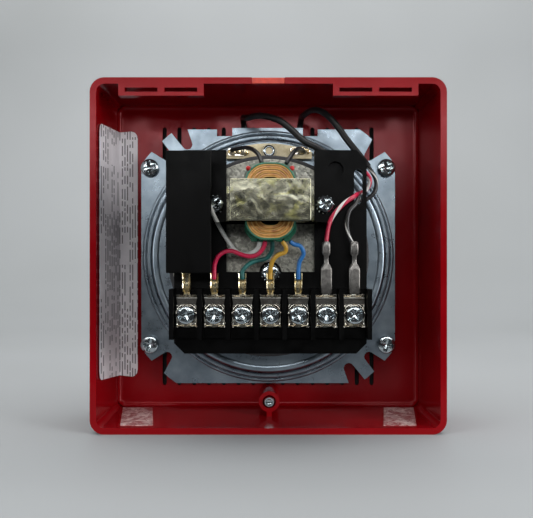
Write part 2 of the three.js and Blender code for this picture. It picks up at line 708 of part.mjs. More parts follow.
function rearBracket() {
  const c = LEG_CHAMFER;
  const windowLeft = (BRACKET_LEFT + BRACKET_RIGHT) / 2 - LEG_INSIDE;
  const windowRight = windowLeft + 2 * LEG_INSIDE;
  const outline = polygon([
    [BRACKET_LEFT + c, BRACKET_BOTTOM],
    [BRACKET_RIGHT - c, BRACKET_BOTTOM],
    [BRACKET_RIGHT, BRACKET_BOTTOM + c],
    [BRACKET_RIGHT, BRACKET_TOP - c],
    [BRACKET_RIGHT - c, BRACKET_TOP],
    [windowRight, BRACKET_TOP],
    [windowRight, WINDOW_BOTTOM],
    [windowLeft, WINDOW_BOTTOM],
    [windowLeft, BRACKET_TOP],
    [BRACKET_LEFT + c, BRACKET_TOP],
    [BRACKET_LEFT, BRACKET_TOP - c],
    [BRACKET_LEFT, BRACKET_BOTTOM + c],
  ]);
  const plate = slab(outline, BRACKET_Z, BRACKET_TOP_Z);
  const [lowerX, lowerY] = BRACKET_SCREWS.lower;
  const ear = post(lowerX, lowerY, 4, BRACKET_Z, BRACKET_TOP_Z);
  const span = TERMINAL_COUNT * TERMINAL_PITCH + BARRIER_WALL;
  const left = TERMINAL_CENTRE_X - span / 2;
  const block = box(left, left + span, BLOCK_BOTTOM, BLOCK_TOP, BRACKET_Z, BLOCK_TOP_Z);
  const barriers = [];
  for (let i = 0; i <= TERMINAL_COUNT; i++) {
    const x = terminalX(i) - TERMINAL_PITCH / 2;
    barriers.push(box(
      x - BARRIER_WALL / 2, x + BARRIER_WALL / 2, BLOCK_BOTTOM, BLOCK_TOP,
      BRACKET_Z, BLOCK_TOP_Z + BARRIER_RISE,
    ));
  }
  const cuts = [];
  for (let i = 0; i < TERMINAL_COUNT; i++) {
    cuts.push(post(
      terminalX(i), TERMINAL_SCREW_Y, TERMINAL_SCREW_SHANK + GAP, BRACKET_Z + 0.6, BLOCK_TOP_Z + 1, 12,
    ));
  }
  for (const [x, y] of Object.values(BRACKET_SCREWS)) {
    cuts.push(post(x, y, BRACKET_SCREW_SHANK + GAP, BRACKET_Z - 1, BRACKET_TOP_Z + 1, 12));
  }
  const reach = FOOT_HALF + FOOT_END + GAP;
  const halfDepth = STRAP_DEPTH / 2 + GAP;
  cuts.push(box(
    TRANSFORMER_X - reach, TRANSFORMER_X + reach, TRANSFORMER_Y - halfDepth, TRANSFORMER_Y + halfDepth,
    BRACKET_Z - 1, BRACKET_Z + STRAP_SHEET + GAP,
  ));
  cuts.push(post(23.3, 30, 2.9, BRACKET_TOP_Z - 1.6, BRACKET_TOP_Z + 1));
  const slotX = BRACKET_RIGHT - 1.2 - SLOT_IN_LEG / 2;
  cuts.push(ringHole(slotX, 24.2, SLOT_IN_LEG, 12.2, BRACKET_Z - 1, BRACKET_TOP_Z + 1));
  return cut(join(plate, ear, block, ...barriers), ...cuts);
}

function transformerStrap() {
  const half = STRAP_WIDTH / 2;
  const foot = FOOT_HALF + FOOT_END;
  const t = STRAP_SHEET;
  const low = BRACKET_Z;
  const high = BRACKET_Z + STRAP_HEIGHT;
  const side = (s) => [[s * foot, low], [s * foot, low + t], [s * half, low + t], [s * half, high]];
  const inside = (s) => [[s * (half - t), high - t], [s * (half - t), low]];
  const outline = polygon([...side(-1), ...side(1).reverse(), ...inside(1).reverse(), ...inside(-1)]);
  const strap = alongY(outline, TRANSFORMER_Y - STRAP_DEPTH / 2, TRANSFORMER_Y + STRAP_DEPTH / 2);
  const holes = [-1, 1].map((s) => post(
    s * FOOT_HALF, TRANSFORMER_Y, BRACKET_SCREW_SHANK + GAP, low - 1, low + t + 1, 12,
  ));
  return moved(cut(strap, ...holes), TRANSFORMER_X, 0);
}

const CORE_Z = BRACKET_Z + 1.1;
const CORE_TOP = BRACKET_Z + STRAP_HEIGHT - STRAP_SHEET - GAP;

function transformerCore() {
  const half = STRAP_WIDTH / 2 - STRAP_SHEET - GAP;
  const y0 = TRANSFORMER_Y - CORE_DEPTH / 2;
  const y1 = TRANSFORMER_Y + CORE_DEPTH / 2;
  const block = box(-half, half, y0, y1, CORE_Z, CORE_TOP);
  const windows = [-1, 1].map((s) => {
    const inner = s * CORE_LEG / 2;
    const outer = s * (WINDING_WIDTH / 2 + GAP);
    return box(
      Math.min(inner, outer), Math.max(inner, outer), y0 - 1, y1 + 1,
      CORE_Z + WINDOW_YOKE, CORE_TOP - WINDOW_YOKE,
    );
  });
  return moved(cut(block, ...windows), TRANSFORMER_X, 0);
}

function transformerWinding() {
  const z0 = CORE_Z + WINDOW_YOKE + GAP;
  const z1 = CORE_TOP - WINDOW_YOKE - GAP;
  const coil = slab(roundedRectangle(WINDING_WIDTH, WINDING_LENGTH, 4), z0, z1);
  const leg = CORE_LEG / 2 + GAP;
  const bore = box(-leg, leg, -CORE_DEPTH / 2 - GAP, CORE_DEPTH / 2 + GAP, z0 - 1, z1 + 1);
  return moved(cut(coil, bore), TRANSFORMER_X, TRANSFORMER_Y);
}

const CAP_BOX_LEFT = BRACKET_LEFT - CAP_LID_LIP;
const CAP_BOX_BOTTOM = -5.2;
const CAP_BOX_Z = BRACKET_TOP_Z + GAP;

function capacitorCover() {
  const right = CAP_BOX_LEFT + CAP_COVER_WIDTH;
  const top = CAP_BOX_BOTTOM + CAP_COVER_LENGTH;
  const high = CAP_BOX_Z + CAP_COVER_HEIGHT;
  const lip = CAP_LID_LIP;
  const w = CAP_COVER_WALL;
  const shell = box(CAP_BOX_LEFT, right, CAP_BOX_BOTTOM, top, CAP_BOX_Z, high - w);
  const lid = box(
    CAP_BOX_LEFT - lip, right + CAP_LID_OVERHANG, CAP_BOX_BOTTOM - lip, top + lip, high - w - 0.2, high,
  );
  const room = box(CAP_BOX_LEFT + w, right - w, CAP_BOX_BOTTOM + w, top - w, CAP_BOX_Z - 1, high - w - 0.2);
  const exit = box(
    right - w - 1, right + 1, TRANSFORMER_Y - 2.6, TRANSFORMER_Y + 1.4, CAP_BOX_Z - 1, CAP_BOX_Z + 4.6,
  );
  return cut(join(shell, lid), room, exit);
}

function blockingCapacitor() {
  const width = CAP_COVER_WIDTH - 2 * CAP_COVER_WALL - 2 * GAP;
  const length = CAP_COVER_LENGTH - 2 * CAP_COVER_WALL - 8;
  const z1 = CAP_BOX_Z + CAP_COVER_HEIGHT - CAP_COVER_WALL - 0.2 - GAP;
  const body = slab(roundedRectangle(width, length, 2), CAP_BOX_Z, z1);
  return moved(body, CAP_BOX_LEFT + CAP_COVER_WIDTH / 2, CAP_BOX_BOTTOM + CAP_COVER_LENGTH / 2);
}

add('rear_bracket', rearBracket(), FINISH.black);
add('transformer_strap', transformerStrap(), FINISH.chromate);
add('transformer_core', transformerCore(), FINISH.lamination);
add('transformer_winding', transformerWinding(), FINISH.winding);
add('capacitor_cover', capacitorCover(), FINISH.black);
add('blocking_capacitor', blockingCapacitor(), FINISH.film);
for (const [side, [x, y]] of Object.entries(BRACKET_SCREWS)) {
  const length = BRACKET_SHEET + GAP + 2 * GAP + BACK_PLATE_SHEET - 1;
  const screw = panScrew(x, y, BRACKET_SCREW_HEAD, BRACKET_SCREW_SHANK, BRACKET_TOP_Z + GAP, length);
  add(`bracket_screw_${side}`, screw, FINISH.zinc);
}

// ---- Terminals ------------------------------------------------------------------------------

const FLAT_TABS = 2; // the last terminals take push-on receptacles

function terminalPlate(i) {
  const half = TERMINAL_WIDTH / 2;
  const top = TERMINAL_Z + TERMINAL_SHEET;
  const plate = box(-half, half, TERMINAL_BOTTOM, TERMINAL_TOP, TERMINAL_Z, top);
  const lip = box(-half + 0.9, half - 0.9, TERMINAL_BOTTOM, TERMINAL_BOTTOM + 0.6, TERMINAL_Z, top + 0.8);
  const hole = post(0, TERMINAL_SCREW_Y, TERMINAL_SCREW_SHANK + GAP, TERMINAL_Z - 1, top + 1, 12);
  const plain = cut(join(plate, lip), hole);
  const tailEnd = TERMINAL_TOP + TAIL_LENGTH;
  if (i >= TERMINAL_COUNT - FLAT_TABS) {
    const tabZ = TAIL_Z + 0.7;
    const riser = box(
      -TAB_WIDTH / 2, TAB_WIDTH / 2, TERMINAL_TOP - 0.6, TERMINAL_TOP, TERMINAL_Z, tabZ + 0.6,
    );
    const tab = box(-TAB_WIDTH / 2, TAB_WIDTH / 2, TERMINAL_TOP - 0.6, tailEnd, tabZ, tabZ + 0.6);
    return join(plain, riser, tab);
  }
  const w = TAIL_WIDTH / 2;
  const base = box(-w, w, TERMINAL_TOP - 0.4, tailEnd, TAIL_Z, TAIL_Z + TAIL_SHEET);
  const walls = [-1, 1].map((s) => {
    const outer = s * w;
    const inner = s * (w - 0.5);
    return box(
      Math.min(outer, inner), Math.max(outer, inner), TERMINAL_TOP, tailEnd, TAIL_Z, TAIL_Z + 2.3,
    );
  });
  return join(plain, base, ...walls);
}

function terminalClamp() {
  const w = CLAMP_WIDTH / 2;
  const l = CLAMP_LENGTH / 2;
  const top = CLAMP_Z + CLAMP_SHEET;
  const plate = box(-w, w, TERMINAL_SCREW_Y - l, TERMINAL_SCREW_Y + l, CLAMP_Z, top);
  const rails = [-1, 1].map((s) => {
    const outer = s * w;
    const inner = s * (w - 0.4);
    return box(
      Math.min(outer, inner), Math.max(outer, inner), TERMINAL_SCREW_Y - l, TERMINAL_SCREW_Y + l,
      CLAMP_Z, top + 0.5,
    );
  });
  const hole = post(0, TERMINAL_SCREW_Y, TERMINAL_SCREW_SHANK + GAP, CLAMP_Z - 1, top + 1, 12);
  return cut(join(plate, ...rails), hole);
}

for (let i = 0; i < TERMINAL_COUNT; i++) {
  const x = terminalX(i);
  add(`terminal_plate_${i + 1}`, moved(terminalPlate(i), x, 0), FINISH.tin);
  add(`terminal_clamp_${i + 1}`, moved(terminalClamp(), x, 0), FINISH.tin);
  const length = TERMINAL_HEAD_Z - BRACKET_Z - 1;
  const screw = panScrew(
    x, TERMINAL_SCREW_Y, TERMINAL_SCREW_HEAD, TERMINAL_SCREW_SHANK, TERMINAL_HEAD_Z, length,
  );
  add(`terminal_screw_${i + 1}`, screw, FINISH.tin);
}

// ---- Leads ----------------------------------------------------------------------------------

// Transformer tap leads, from the solder tails to the winding.
const TAP_LEADS = {
  lead_white: {
    color: 0xb0b0ac,
    route: [[-20.3, 17.6, 11.4], [-18.9, 14.2, 11.6], [-17.6, 11.6, 11.6], [-14.6, 6.2, 11.4],
      [-11.3, 1.7, 11], [-8.5, 0.5, 10.8], [-6, 0.9, 11.2], [-3.6, 2.6, 12.4], [-2.9, 4.8, 13.2]],
  },
  lead_red: {
    terminal: 1,
    color: 0xb01048,
    route: [[-18.4, -8, 13.9], [-18.4, -5.2, 13.9], [-18.3, -3.2, 13.9], [-17.2, -0.4, 13.8],
      [-14.8, 1.4, 13.6], [-12.4, 1.6, 13.4], [-9.7, 0.6, 13.4], [-6.3, -0.2, 13.8],
      [-3.5, 0.6, 14.6], [-1.5, 3.2, 15.8], [-1.1, 4.8, 16.6]],
  },
  lead_green: {
    terminal: 2,
    color: 0x0f5a55,
    route: [[-8.8, -8, 13.9], [-8.8, -5.2, 13.9], [-8, -4.1, 13.8], [-6.3, -2.6, 13.2],
      [-3.6, -1.6, 12.4], [-0.8, -0.9, 12.2], [1.2, 1.8, 13], [1.3, 4.8, 14.2]],
  },
  lead_yellow: {
    terminal: 3,
    color: 0xb8902a,
    route: [[0.7, -8, 13.9], [0.7, -5.4, 13.9], [0.9, -3.6, 14.4], [1.6, -1.4, 15.4], [3.4, 0.3, 16.2],
      [5.6, 1.2, 16.6], [5.9, 2.8, 17], [4.6, 4.8, 17.4]],
  },
  lead_blue: {
    terminal: 4,
    color: 0x1560b4,
    route: [[10.2, -8, 13.9], [10.2, -5.2, 13.9], [10.6, -2, 14], [11.9, 0.7, 14.4], [10.8, 3.2, 14.8],
      [8.6, 3.9, 15.4], [7.2, 4.8, 16]],
  },
};

// Voice coil leads, from the lug board over the magnet's edge to the winding.
const SPEAKER_LEADS = {
  speaker_lead_left: [[-13.6, 38.6, -4.4], [-11.6, 38.8, -2.4], [-8.4, 38.6, 2], [-5.4, 37, 8],
    [-3.2, 34.2, 13], [-2.2, 31.2, 16]],
  speaker_lead_right: [[13.2, 38.2, -4.4], [12.2, 38.5, -2], [10.6, 38, 3], [9, 36.2, 9],
    [7.4, 33.6, 13], [6, 31.2, 15]],
};

// Strobe leads: from the strobe board along the floor, round the flange's upper edge, over the
// basket, behind the right leg, up through its slot and down to the last two terminals.
const STROBE_LEADS = {
  strobe_lead_positive: [[-5, 27.8, -32.6], [-5.8, 31, -33.6], [-8, 40, -33.7], [-9.4, 49, -33.7],
    [-9.9, 53.6, -33], [-10, 55.4, -30], [-9.6, 55, -26], [-8.3, 53.8, -21], [-4.6, 53.4, -15],
    [-0.8, 52.2, -10], [4.3, 49.7, -6], [8.6, 45.8, -3], [12.5, 41.6, 0], [17, 38.6, 2.6],
    [23, 35, 3], [29.4, 32.6, 3], [34, 30, 3.4], [36, 26.6, 4.2], [34.6, 23.4, 3.9], [32, 22, 4.6],
    [31, 21.6, 7], [29.8, 20.6, 10], [26.3, 18.2, 11.6], [22.8, 14.6, 12], [21, 11.5, 12.5],
    [20, 7.1, 13], [19.7, 3, 13.2]],
  strobe_lead_negative: [[5, 27.8, -32.6], [6.2, 31, -33.6], [10, 40, -33.7], [12.4, 49, -33.7],
    [13.1, 53.6, -33], [13.4, 55.6, -30], [14, 55.6, -25], [16.4, 56, -18], [19.1, 54.8, -12],
    [22.2, 51.9, -8], [25.2, 47.7, -5], [28.6, 42.2, -2.6], [32.4, 37, -1.2], [36, 32, 0],
    [38.4, 27, 1.6], [37.6, 22.4, 2.4], [34.2, 19.8, 2.6], [32, 19.8, 4], [31.4, 20, 6.6],
    [31.2, 19.8, 8.8], [30, 17.6, 10.4], [27.9, 15.4, 11.4], [26.9, 10.5, 12.5], [27.8, 5.8, 13],
    [29.26, 3, 13.2]],
};

const RECEPTACLE_Z = TAIL_Z - 0.1;

// A crimped push-on receptacle: insulation crimp, neck, and a sleeve round the tab.
function receptacle(x) {
  const tabTop = TERMINAL_TOP + TAIL_LENGTH;
  const low = TERMINAL_TOP + 0.6;
  const sleeve = box(x - 1.9, x + 1.9, low, tabTop + 1.1, RECEPTACLE_Z, RECEPTACLE_Z + 2.2);
  const neck = box(x - 1, x + 1, tabTop + 1, tabTop + 5.2, RECEPTACLE_Z + 0.1, RECEPTACLE_Z + 1.7);
  const crimp = box(x - 1.35, x + 1.35, tabTop + 5.1, tabTop + 9.1, RECEPTACLE_Z, RECEPTACLE_Z + 2.2);
  const half = TAB_WIDTH / 2 + GAP;
  const socket = box(x - half, x + half, low - 1, tabTop + 0.5, RECEPTACLE_Z + 0.45, RECEPTACLE_Z + 1.75);
  return cut(join(sleeve, neck, crimp), socket);
}

// Where the pieces beside the leads are when the routes above are drawn, and where they are now.
const LEVELS = [[-35, FLOOR_Z], [-30, FLANGE_TOP], [-9, SHELF_TOP], [8.2, BRACKET_TOP_Z]];
const HEIGHTS = [[36.8, BRACKET_TOP], [51, SPEAKER_HALF]];
const SIDES = [
  [-32.8, BRACKET_LEFT], [-10, -10], [20, 20], [29, BRACKET_RIGHT - 5.2], [34.2, BRACKET_RIGHT],
];

// Carries a coordinate with the pieces it was drawn beside, evenly between two of them.
function carried(value, places) {
  const above = places.findIndex(([drawn]) => drawn > value);
  if (above <= 0) {
    const [drawn, now] = places.at(above === 0 ? 0 : -1);
    return value + now - drawn;
  }
  const [d0, n0] = places[above - 1];
  const [d1, n1] = places[above];
  return n0 + (value - d0) / (d1 - d0) * (n1 - n0);
}

// A lead's route at the present sizes. One that meets a terminal, at the route's point `end`, stays
// level with it up to height `near` and leaves it evenly from there up to height `far`.
function followed(route, meets) {
  const path = route.map(([x, y, z]) => [carried(x, SIDES), carried(y, HEIGHTS), carried(z, LEVELS)]);
  if (!meets) return path;
  const shift = terminalX(meets.terminal) - path.at(meets.end)[0];
  return path.map(([x, y, z]) => {
    const share = Math.min(1, Math.max(0, (meets.far - y) / (meets.far - meets.near)));
    return [x + share * shift, y, z];
  });
}

const TAIL_TOP = TERMINAL_TOP + TAIL_LENGTH;
const TAP_TURN = 4.4; // a tap lead has left its terminal's line this far above the tail

for (const [name, { color, route, terminal }] of Object.entries(TAP_LEADS)) {
  const meets = terminal && { terminal, end: 0, near: TAIL_TOP, far: TAIL_TOP + TAP_TURN };
  add(name, wire(followed(route, meets), WIRE, 20), { color, roughness: 0.35, metalness: 0 });
}
for (const [name, route] of Object.entries(SPEAKER_LEADS)) {
  add(name, wire(followed(route), WIRE, 14), FINISH.black);
}
Object.entries(STROBE_LEADS).forEach(([name, route], i) => {
  const terminal = TERMINAL_COUNT - FLAT_TABS + i;
  const path = followed(route, { terminal, end: -1, near: route.at(-1)[1], far: TRANSFORMER_Y });
  add(name, join(wire(path, WIRE, 64), receptacle(terminalX(terminal))), FINISH.black);
});

// ---- Stand the unit on its lower edge -------------------------------------------------------

bench.rotation.set(Math.PI / 2, 0, Math.PI, 'ZYX');
bench.position.set(0, HOUSING_DEPTH / 2, HALF);

const unit = new THREE.Group();
unit.add(bench);

export default unit;
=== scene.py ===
"""Looks of a wall speaker strobe, seen into its open back.

Lengths in this file are millimetres in the bench frame of the open back: x to the right, y up,
z out of the back with z = 0 at the rear rim. bench_to_row() turns them into the row's metres.
"""
import json
import math

import bmesh
import bpy
import numpy as np
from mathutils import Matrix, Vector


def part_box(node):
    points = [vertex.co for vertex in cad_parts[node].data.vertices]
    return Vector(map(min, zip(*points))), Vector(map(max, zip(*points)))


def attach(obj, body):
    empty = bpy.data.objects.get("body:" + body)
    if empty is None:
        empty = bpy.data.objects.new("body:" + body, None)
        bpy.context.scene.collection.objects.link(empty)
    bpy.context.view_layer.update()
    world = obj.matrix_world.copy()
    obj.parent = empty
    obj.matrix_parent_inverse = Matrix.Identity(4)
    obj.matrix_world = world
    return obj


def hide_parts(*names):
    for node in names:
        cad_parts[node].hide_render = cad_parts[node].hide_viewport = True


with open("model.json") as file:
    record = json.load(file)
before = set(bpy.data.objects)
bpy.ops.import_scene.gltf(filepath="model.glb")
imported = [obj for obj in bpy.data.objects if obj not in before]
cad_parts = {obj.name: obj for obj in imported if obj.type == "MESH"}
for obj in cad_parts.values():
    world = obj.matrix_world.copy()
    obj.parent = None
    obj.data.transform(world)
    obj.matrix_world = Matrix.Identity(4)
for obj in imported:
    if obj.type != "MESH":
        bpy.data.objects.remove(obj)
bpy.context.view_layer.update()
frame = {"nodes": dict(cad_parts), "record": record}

HOUSING_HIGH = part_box("housing")[1]
RIM_Y = HOUSING_HIGH.y * 1000
CENTRE_Z = HOUSING_HIGH.z * 500
HALF = CENTRE_Z
WALL = 2.3

BODY_OF = {n: b for b, nodes in frame["record"]["behaviour"]["bodies"].items() for n in nodes}


def bench_to_row(points):
    """Turns bench millimetres (right, up, out) into row metres (-right, out + rim, up + centre)."""
    p = np.asarray(points, float)
    return np.stack([-p[..., 0], p[..., 2] + RIM_Y, p[..., 1] + CENTRE_Z], axis=-1) / 1000


def bench_box(node):
    """A CAD node's lowest and highest corner in bench millimetres."""
    low, high = (np.array(c) * 1000 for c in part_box(node))
    return (
        np.array([-high[0], low[2] - CENTRE_Z, low[1] - RIM_Y]),
        np.array([-low[0], high[2] - CENTRE_Z, high[1] - RIM_Y]),
    )


# ---- Camera ----------------------------------------------------------------------------------

VIEWPOINT = (-0.65, -1.1, 252)
SENSOR_WIDTH = 36
FOCAL_LENGTH = 47.35


def make_camera():
    """Level camera close to the open back, so the walls of the housing fan out."""
    data = bpy.data.cameras.new("camera")
    data.sensor_width = SENSOR_WIDTH
    data.lens = FOCAL_LENGTH
    data.clip_start = 0.01
    camera = bpy.data.objects.new("camera", data)
    camera.location = bench_to_row(VIEWPOINT)
    camera.rotation_euler = (math.pi / 2, 0, math.pi)
    bpy.context.scene.collection.objects.link(camera)
    bpy.context.scene.camera = camera


make_camera()


# ---- Materials -------------------------------------------------------------------------------

def linear(hex_colour, alpha=1.0):
    """sRGB hex to linear RGBA."""
    channels = [int(hex_colour[i:i + 2], 16) / 255 for i in (1, 3, 5)]
    return [c / 12.92 if c <= 0.04045 else ((c + 0.055) / 1.055) ** 2.4 for c in channels] + [alpha]


def add(tree, kind, links=None, values=None, **settings):
    """Adds one node; links holds sockets and values holds numbers or colours, by input name or index."""
    node = tree.nodes.new(kind)
    for key, value in settings.items():
        setattr(node, key, value)
    for key, socket in (links or {}).items():
        tree.links.new(socket, node.inputs[key])
    for key, value in (values or {}).items():
        node.inputs[key].default_value = value
    return node


def finish(name, colour, roughness, metallic=0.0, **more):
    """A Principled material and its parts: (material, tree, shader, object coordinates)."""
    material = bpy.data.materials.new(name)
    material.use_nodes = True
    tree = material.node_tree
    shader = tree.nodes["Principled BSDF"]
    shader.inputs["Base Color"].default_value = linear(colour)
    shader.inputs["Roughness"].default_value = roughness
    shader.inputs["Metallic"].default_value = metallic
    for key, value in more.items():
        shader.inputs[key.replace("_", " ")].default_value = value
    coords = add(tree, "ShaderNodeTexCoord").outputs["Object"]
    return material, tree, shader, coords


def noise(tree, coords, size, detail=3.0, rough=0.55, distort=0.0):
    """Noise whose features are about `size` mm across."""
    return add(
        tree, "ShaderNodeTexNoise", {"Vector": coords},
        {"Scale": 1000 / size, "Detail": detail, "Roughness": rough, "Distortion": distort},
    ).outputs["Fac"]


def spread(tree, value, low, high, source_low=0.3, source_high=0.7):
    """Maps a pattern's middle range onto low..high."""
    return add(
        tree, "ShaderNodeMapRange", {"Value": value},
        {"From Min": source_low, "From Max": source_high, "To Min": low, "To Max": high},
    ).outputs["Result"]


def tint(tree, factor, first, second, blend="MIX"):
    """Mixes two colours; each is a hex value or a socket."""
    mix = add(tree, "ShaderNodeMix", {"Factor": factor}, data_type="RGBA", blend_type=blend)
    for index, colour in ((6, first), (7, second)):
        if isinstance(colour, str):
            mix.inputs[index].default_value = linear(colour)
        else:
            tree.links.new(colour, mix.inputs[index])
    return mix.outputs[2]


def bump(tree, shader, height, depth, under=None):
    """Raises the surface by `depth` mm where height is 1."""
    links = {"Height": height}
    if under is not None:
        links["Normal"] = under
    node = add(tree, "ShaderNodeBump", links, {"Strength": 1.0, "Distance": depth / 1000})
    tree.links.new(node.outputs["Normal"], shader.inputs["Normal"])
    return node.outputs["Normal"]


def join(tree, socket, shader, name):
    """Feeds a socket into one of the shader's inputs."""
    tree.links.new(socket, shader.inputs[name])


def mottle(tree, coords, shader, first, second, *grain):
    """Base colour that drifts between two shades; `grain` is the noise's size and detail."""
    cloud = spread(tree, noise(tree, coords, *grain), 0, 1)
    join(tree, tint(tree, cloud, first, second), shader, "Base Color")


def moulded_red_abs():
    """Glossy injection-moulded ABS: deep red, soft-edged reflections, faint flow marks and fine dust."""
    material, tree, shader, coords = finish(
        "moulded_red_abs", "#8a0510", 0.22, IOR=1.42, Specular_Tint=(1, 0.4, 0.42, 1),
    )
    cloud = noise(tree, coords, 35, 4)
    dust = spread(tree, noise(tree, coords, 0.7, 5, 0.7), 0, 0.35, 0.6, 0.85)
    body = tint(tree, spread(tree, cloud, 0, 1), "#740107", "#84030c")
    join(tree, tint(tree, dust, body, "#a3121c"), shader, "Base Color")
    join(tree, spread(tree, noise(tree, coords, 9, 5, 0.65), 0.14, 0.26), shader, "Roughness")
    ripple = bump(tree, shader, noise(tree, coords, 14, 2), 0.05)
    bump(tree, shader, noise(tree, coords, 0.5, 3), 0.004, ripple)
    return material


def peep_window_abs():
    """Thin-walled window in the same red, which lets light through; its base colour is painted orange for
    that light.
    """
    material, tree, shader, coords = finish("thin_red_abs_painted_orange_glow", "#c83c2a", 0.35, Subsurface_Weight=0.4)
    shader.inputs["Subsurface Radius"].default_value = (0.002, 0.0006, 0.0003)
    # The orange shades are a painted glow of the light that comes through the thin wall.
    mottle(tree, coords, shader, "#d0442c", "#b5301f", 1.5)
    return material


def printed_label():
    """Satin paper label with a film: grey ruled lines stand for generic small print."""
    material, tree, shader, coords = finish("printed_paper_label", "#e2dde0", 0.42)
    place = add(tree, "ShaderNodeSeparateXYZ", {"Vector": coords})
    # One coordinate unfolds the sheet: distance along the wall plus distance across the floor.
    deep = add(tree, "ShaderNodeMath", {0: place.outputs["Y"]}, {1: 0.3}, operation="MULTIPLY")
    across = add(tree, "ShaderNodeMath", {0: place.outputs["X"], 1: deep.outputs[0]}, operation="ADD")
    line_pitch = 1.05
    row = add(tree, "ShaderNodeMath", {0: across.outputs[0]}, {1: line_pitch / 1000}, operation="DIVIDE")
    phase = add(tree, "ShaderNodeMath", {0: row.outputs[0]}, operation="FRACT")
    stroke = add(tree, "ShaderNodeMath", {0: phase.outputs[0]}, {1: 0.42}, operation="LESS_THAN")
    index = add(tree, "ShaderNodeMath", {0: row.outputs[0]}, operation="FLOOR")
    lane = add(tree, "ShaderNodeCombineXYZ", {"X": index.outputs[0], "Z": place.outputs["Z"]})
    words = add(
        tree, "ShaderNodeTexNoise", {"Vector": lane.outputs[0]}, {"Scale": 330.0, "Detail": 1.0},
    ).outputs["Fac"]
    gaps = add(tree, "ShaderNodeMath", {0: words}, {1: 0.47}, operation="GREATER_THAN")
    blocks = add(
        tree, "ShaderNodeTexNoise", {"Vector": lane.outputs[0]}, {"Scale": 26.0, "Detail": 1.0},
    ).outputs["Fac"]
    filled = add(tree, "ShaderNodeMath", {0: blocks}, {1: 0.47}, operation="GREATER_THAN")
    ink = add(tree, "ShaderNodeMath", {0: stroke.outputs[0], 1: gaps.outputs[0]}, operation="MULTIPLY")
    ink = add(tree, "ShaderNodeMath", {0: ink.outputs[0], 1: filled.outputs[0]}, operation="MULTIPLY")
    soft = add(tree, "ShaderNodeMath", {0: ink.outputs[0]}, {1: 0.85}, operation="MULTIPLY")
    paper = tint(tree, spread(tree, noise(tree, coords, 6, 4), 0, 1), "#e9e4e7", "#d8d3d6")
    join(tree, tint(tree, soft.outputs[0], paper, "#3a3436"), shader, "Base Color")
    bump(tree, shader, noise(tree, coords, 9, 2), 0.08)
    return material


def zinc_plated_steel():
    """Bright blue-grey zinc over pressed steel: cloudy sheen, drawn streaks and small handling marks."""
    material, tree, shader, coords = finish("zinc_plated_pressed_steel", "#8f999e", 0.36, 1.0)
    cloud = spread(tree, noise(tree, coords, 11, 5, 0.6), 0, 1)
    join(tree, tint(tree, cloud, "#6f7b85", "#95a1aa"), shader, "Base Color")
    join(tree, spread(tree, noise(tree, coords, 5, 6, 0.7), 0.24, 0.38), shader, "Roughness")
    bump(tree, shader, noise(tree, coords, 1.6, 3, 0.6), 0.004)
    return material


def spangled_galvanised_steel():
    """Hot-dip galvanised plate: flat crystals of about 0.7 mm that each catch the light differently."""
    material, tree, shader, coords = finish("spangled_galvanised_steel", "#8f8f89", 0.45, 1.0)
    cells = add(tree, "ShaderNodeTexVoronoi", {"Vector": coords}, {"Scale": 1000 / 0.7})
    grey = add(tree, "ShaderNodeSeparateColor", {"Color": cells.outputs["Color"]})
    crystal = tint(tree, grey.outputs["Red"], "#6d6d68", "#b4b3a8")
    rust = spread(tree, noise(tree, coords, 8), 0, 0.5)
    join(tree, tint(tree, rust, crystal, "#8c8a80"), shader, "Base Color")
    join(tree, spread(tree, grey.outputs["Green"], 0.34, 0.62, 0, 1), shader, "Roughness")
    low = bump(tree, shader, grey.outputs["Blue"], 0.02)
    bump(tree, shader, noise(tree, coords, 0.4, 4), 0.01, low)
    return material


def sintered_ferrite():
    """Sintered ferrite: charcoal, dull, with a fine chalky grain."""
    material, tree, shader, coords = finish("sintered_ferrite", "#2b2b2d", 0.7, 0.1)
    grain = noise(tree, coords, 0.5, 5, 0.7)
    join(tree, tint(tree, spread(tree, grain, 0, 1), "#232325", "#3a3a3c"), shader, "Base Color")
    bump(tree, shader, grain, 0.03)
    return material


def yellow_chromate_steel():
    """Yellow chromate over zinc: olive gold with pale wavy bands, partly its own mottle and partly painted
    highlight; shallow dents from the press.
    """
    material, tree, shader, coords = finish("yellow_chromate_steel", "#9a915c", 0.33, 1.0)
    # The pale bands of this swirl are partly painted highlight and partly the chromate's own mottle.
    swirl_and_painted_highlight = spread(tree, noise(tree, coords, 7, 4, 0.6, 1.2), 0, 1)
    tone = tint(tree, swirl_and_painted_highlight, "#727267", "#9f9d88")
    rainbow = spread(tree, noise(tree, coords, 4, 3, 0.6, 0.8), 0, 0.6, 0.5, 0.75)
    join(tree, tint(tree, rainbow, tone, "#8f8c3a"), shader, "Base Color")
    join(tree, spread(tree, noise(tree, coords, 2.5, 5, 0.7), 0.12, 0.3), shader, "Roughness")
    dents = bump(tree, shader, noise(tree, coords, 9, 2, 0.5, 0.5), 0.3)
    bump(tree, shader, noise(tree, coords, 0.8, 4), 0.01, dents)
    return material


def laminated_core():
    """Stack of 0.5 mm silicon steel sheets on edge, varnished."""
    material, tree, shader, coords = finish("laminated_silicon_steel", "#4b4946", 0.45, 0.85)
    sheets = add(
        tree, "ShaderNodeTexWave", {"Vector": coords},
        {"Scale": 1000 / 0.5 / 6.283 * 0.314, "Distortion": 0.2}, bands_direction="Z",
    ).outputs["Fac"]
    join(tree, tint(tree, sheets, "#2e2c2a", "#6a6762"), shader, "Base Color")
    bump(tree, shader, sheets, 0.08)
    return material


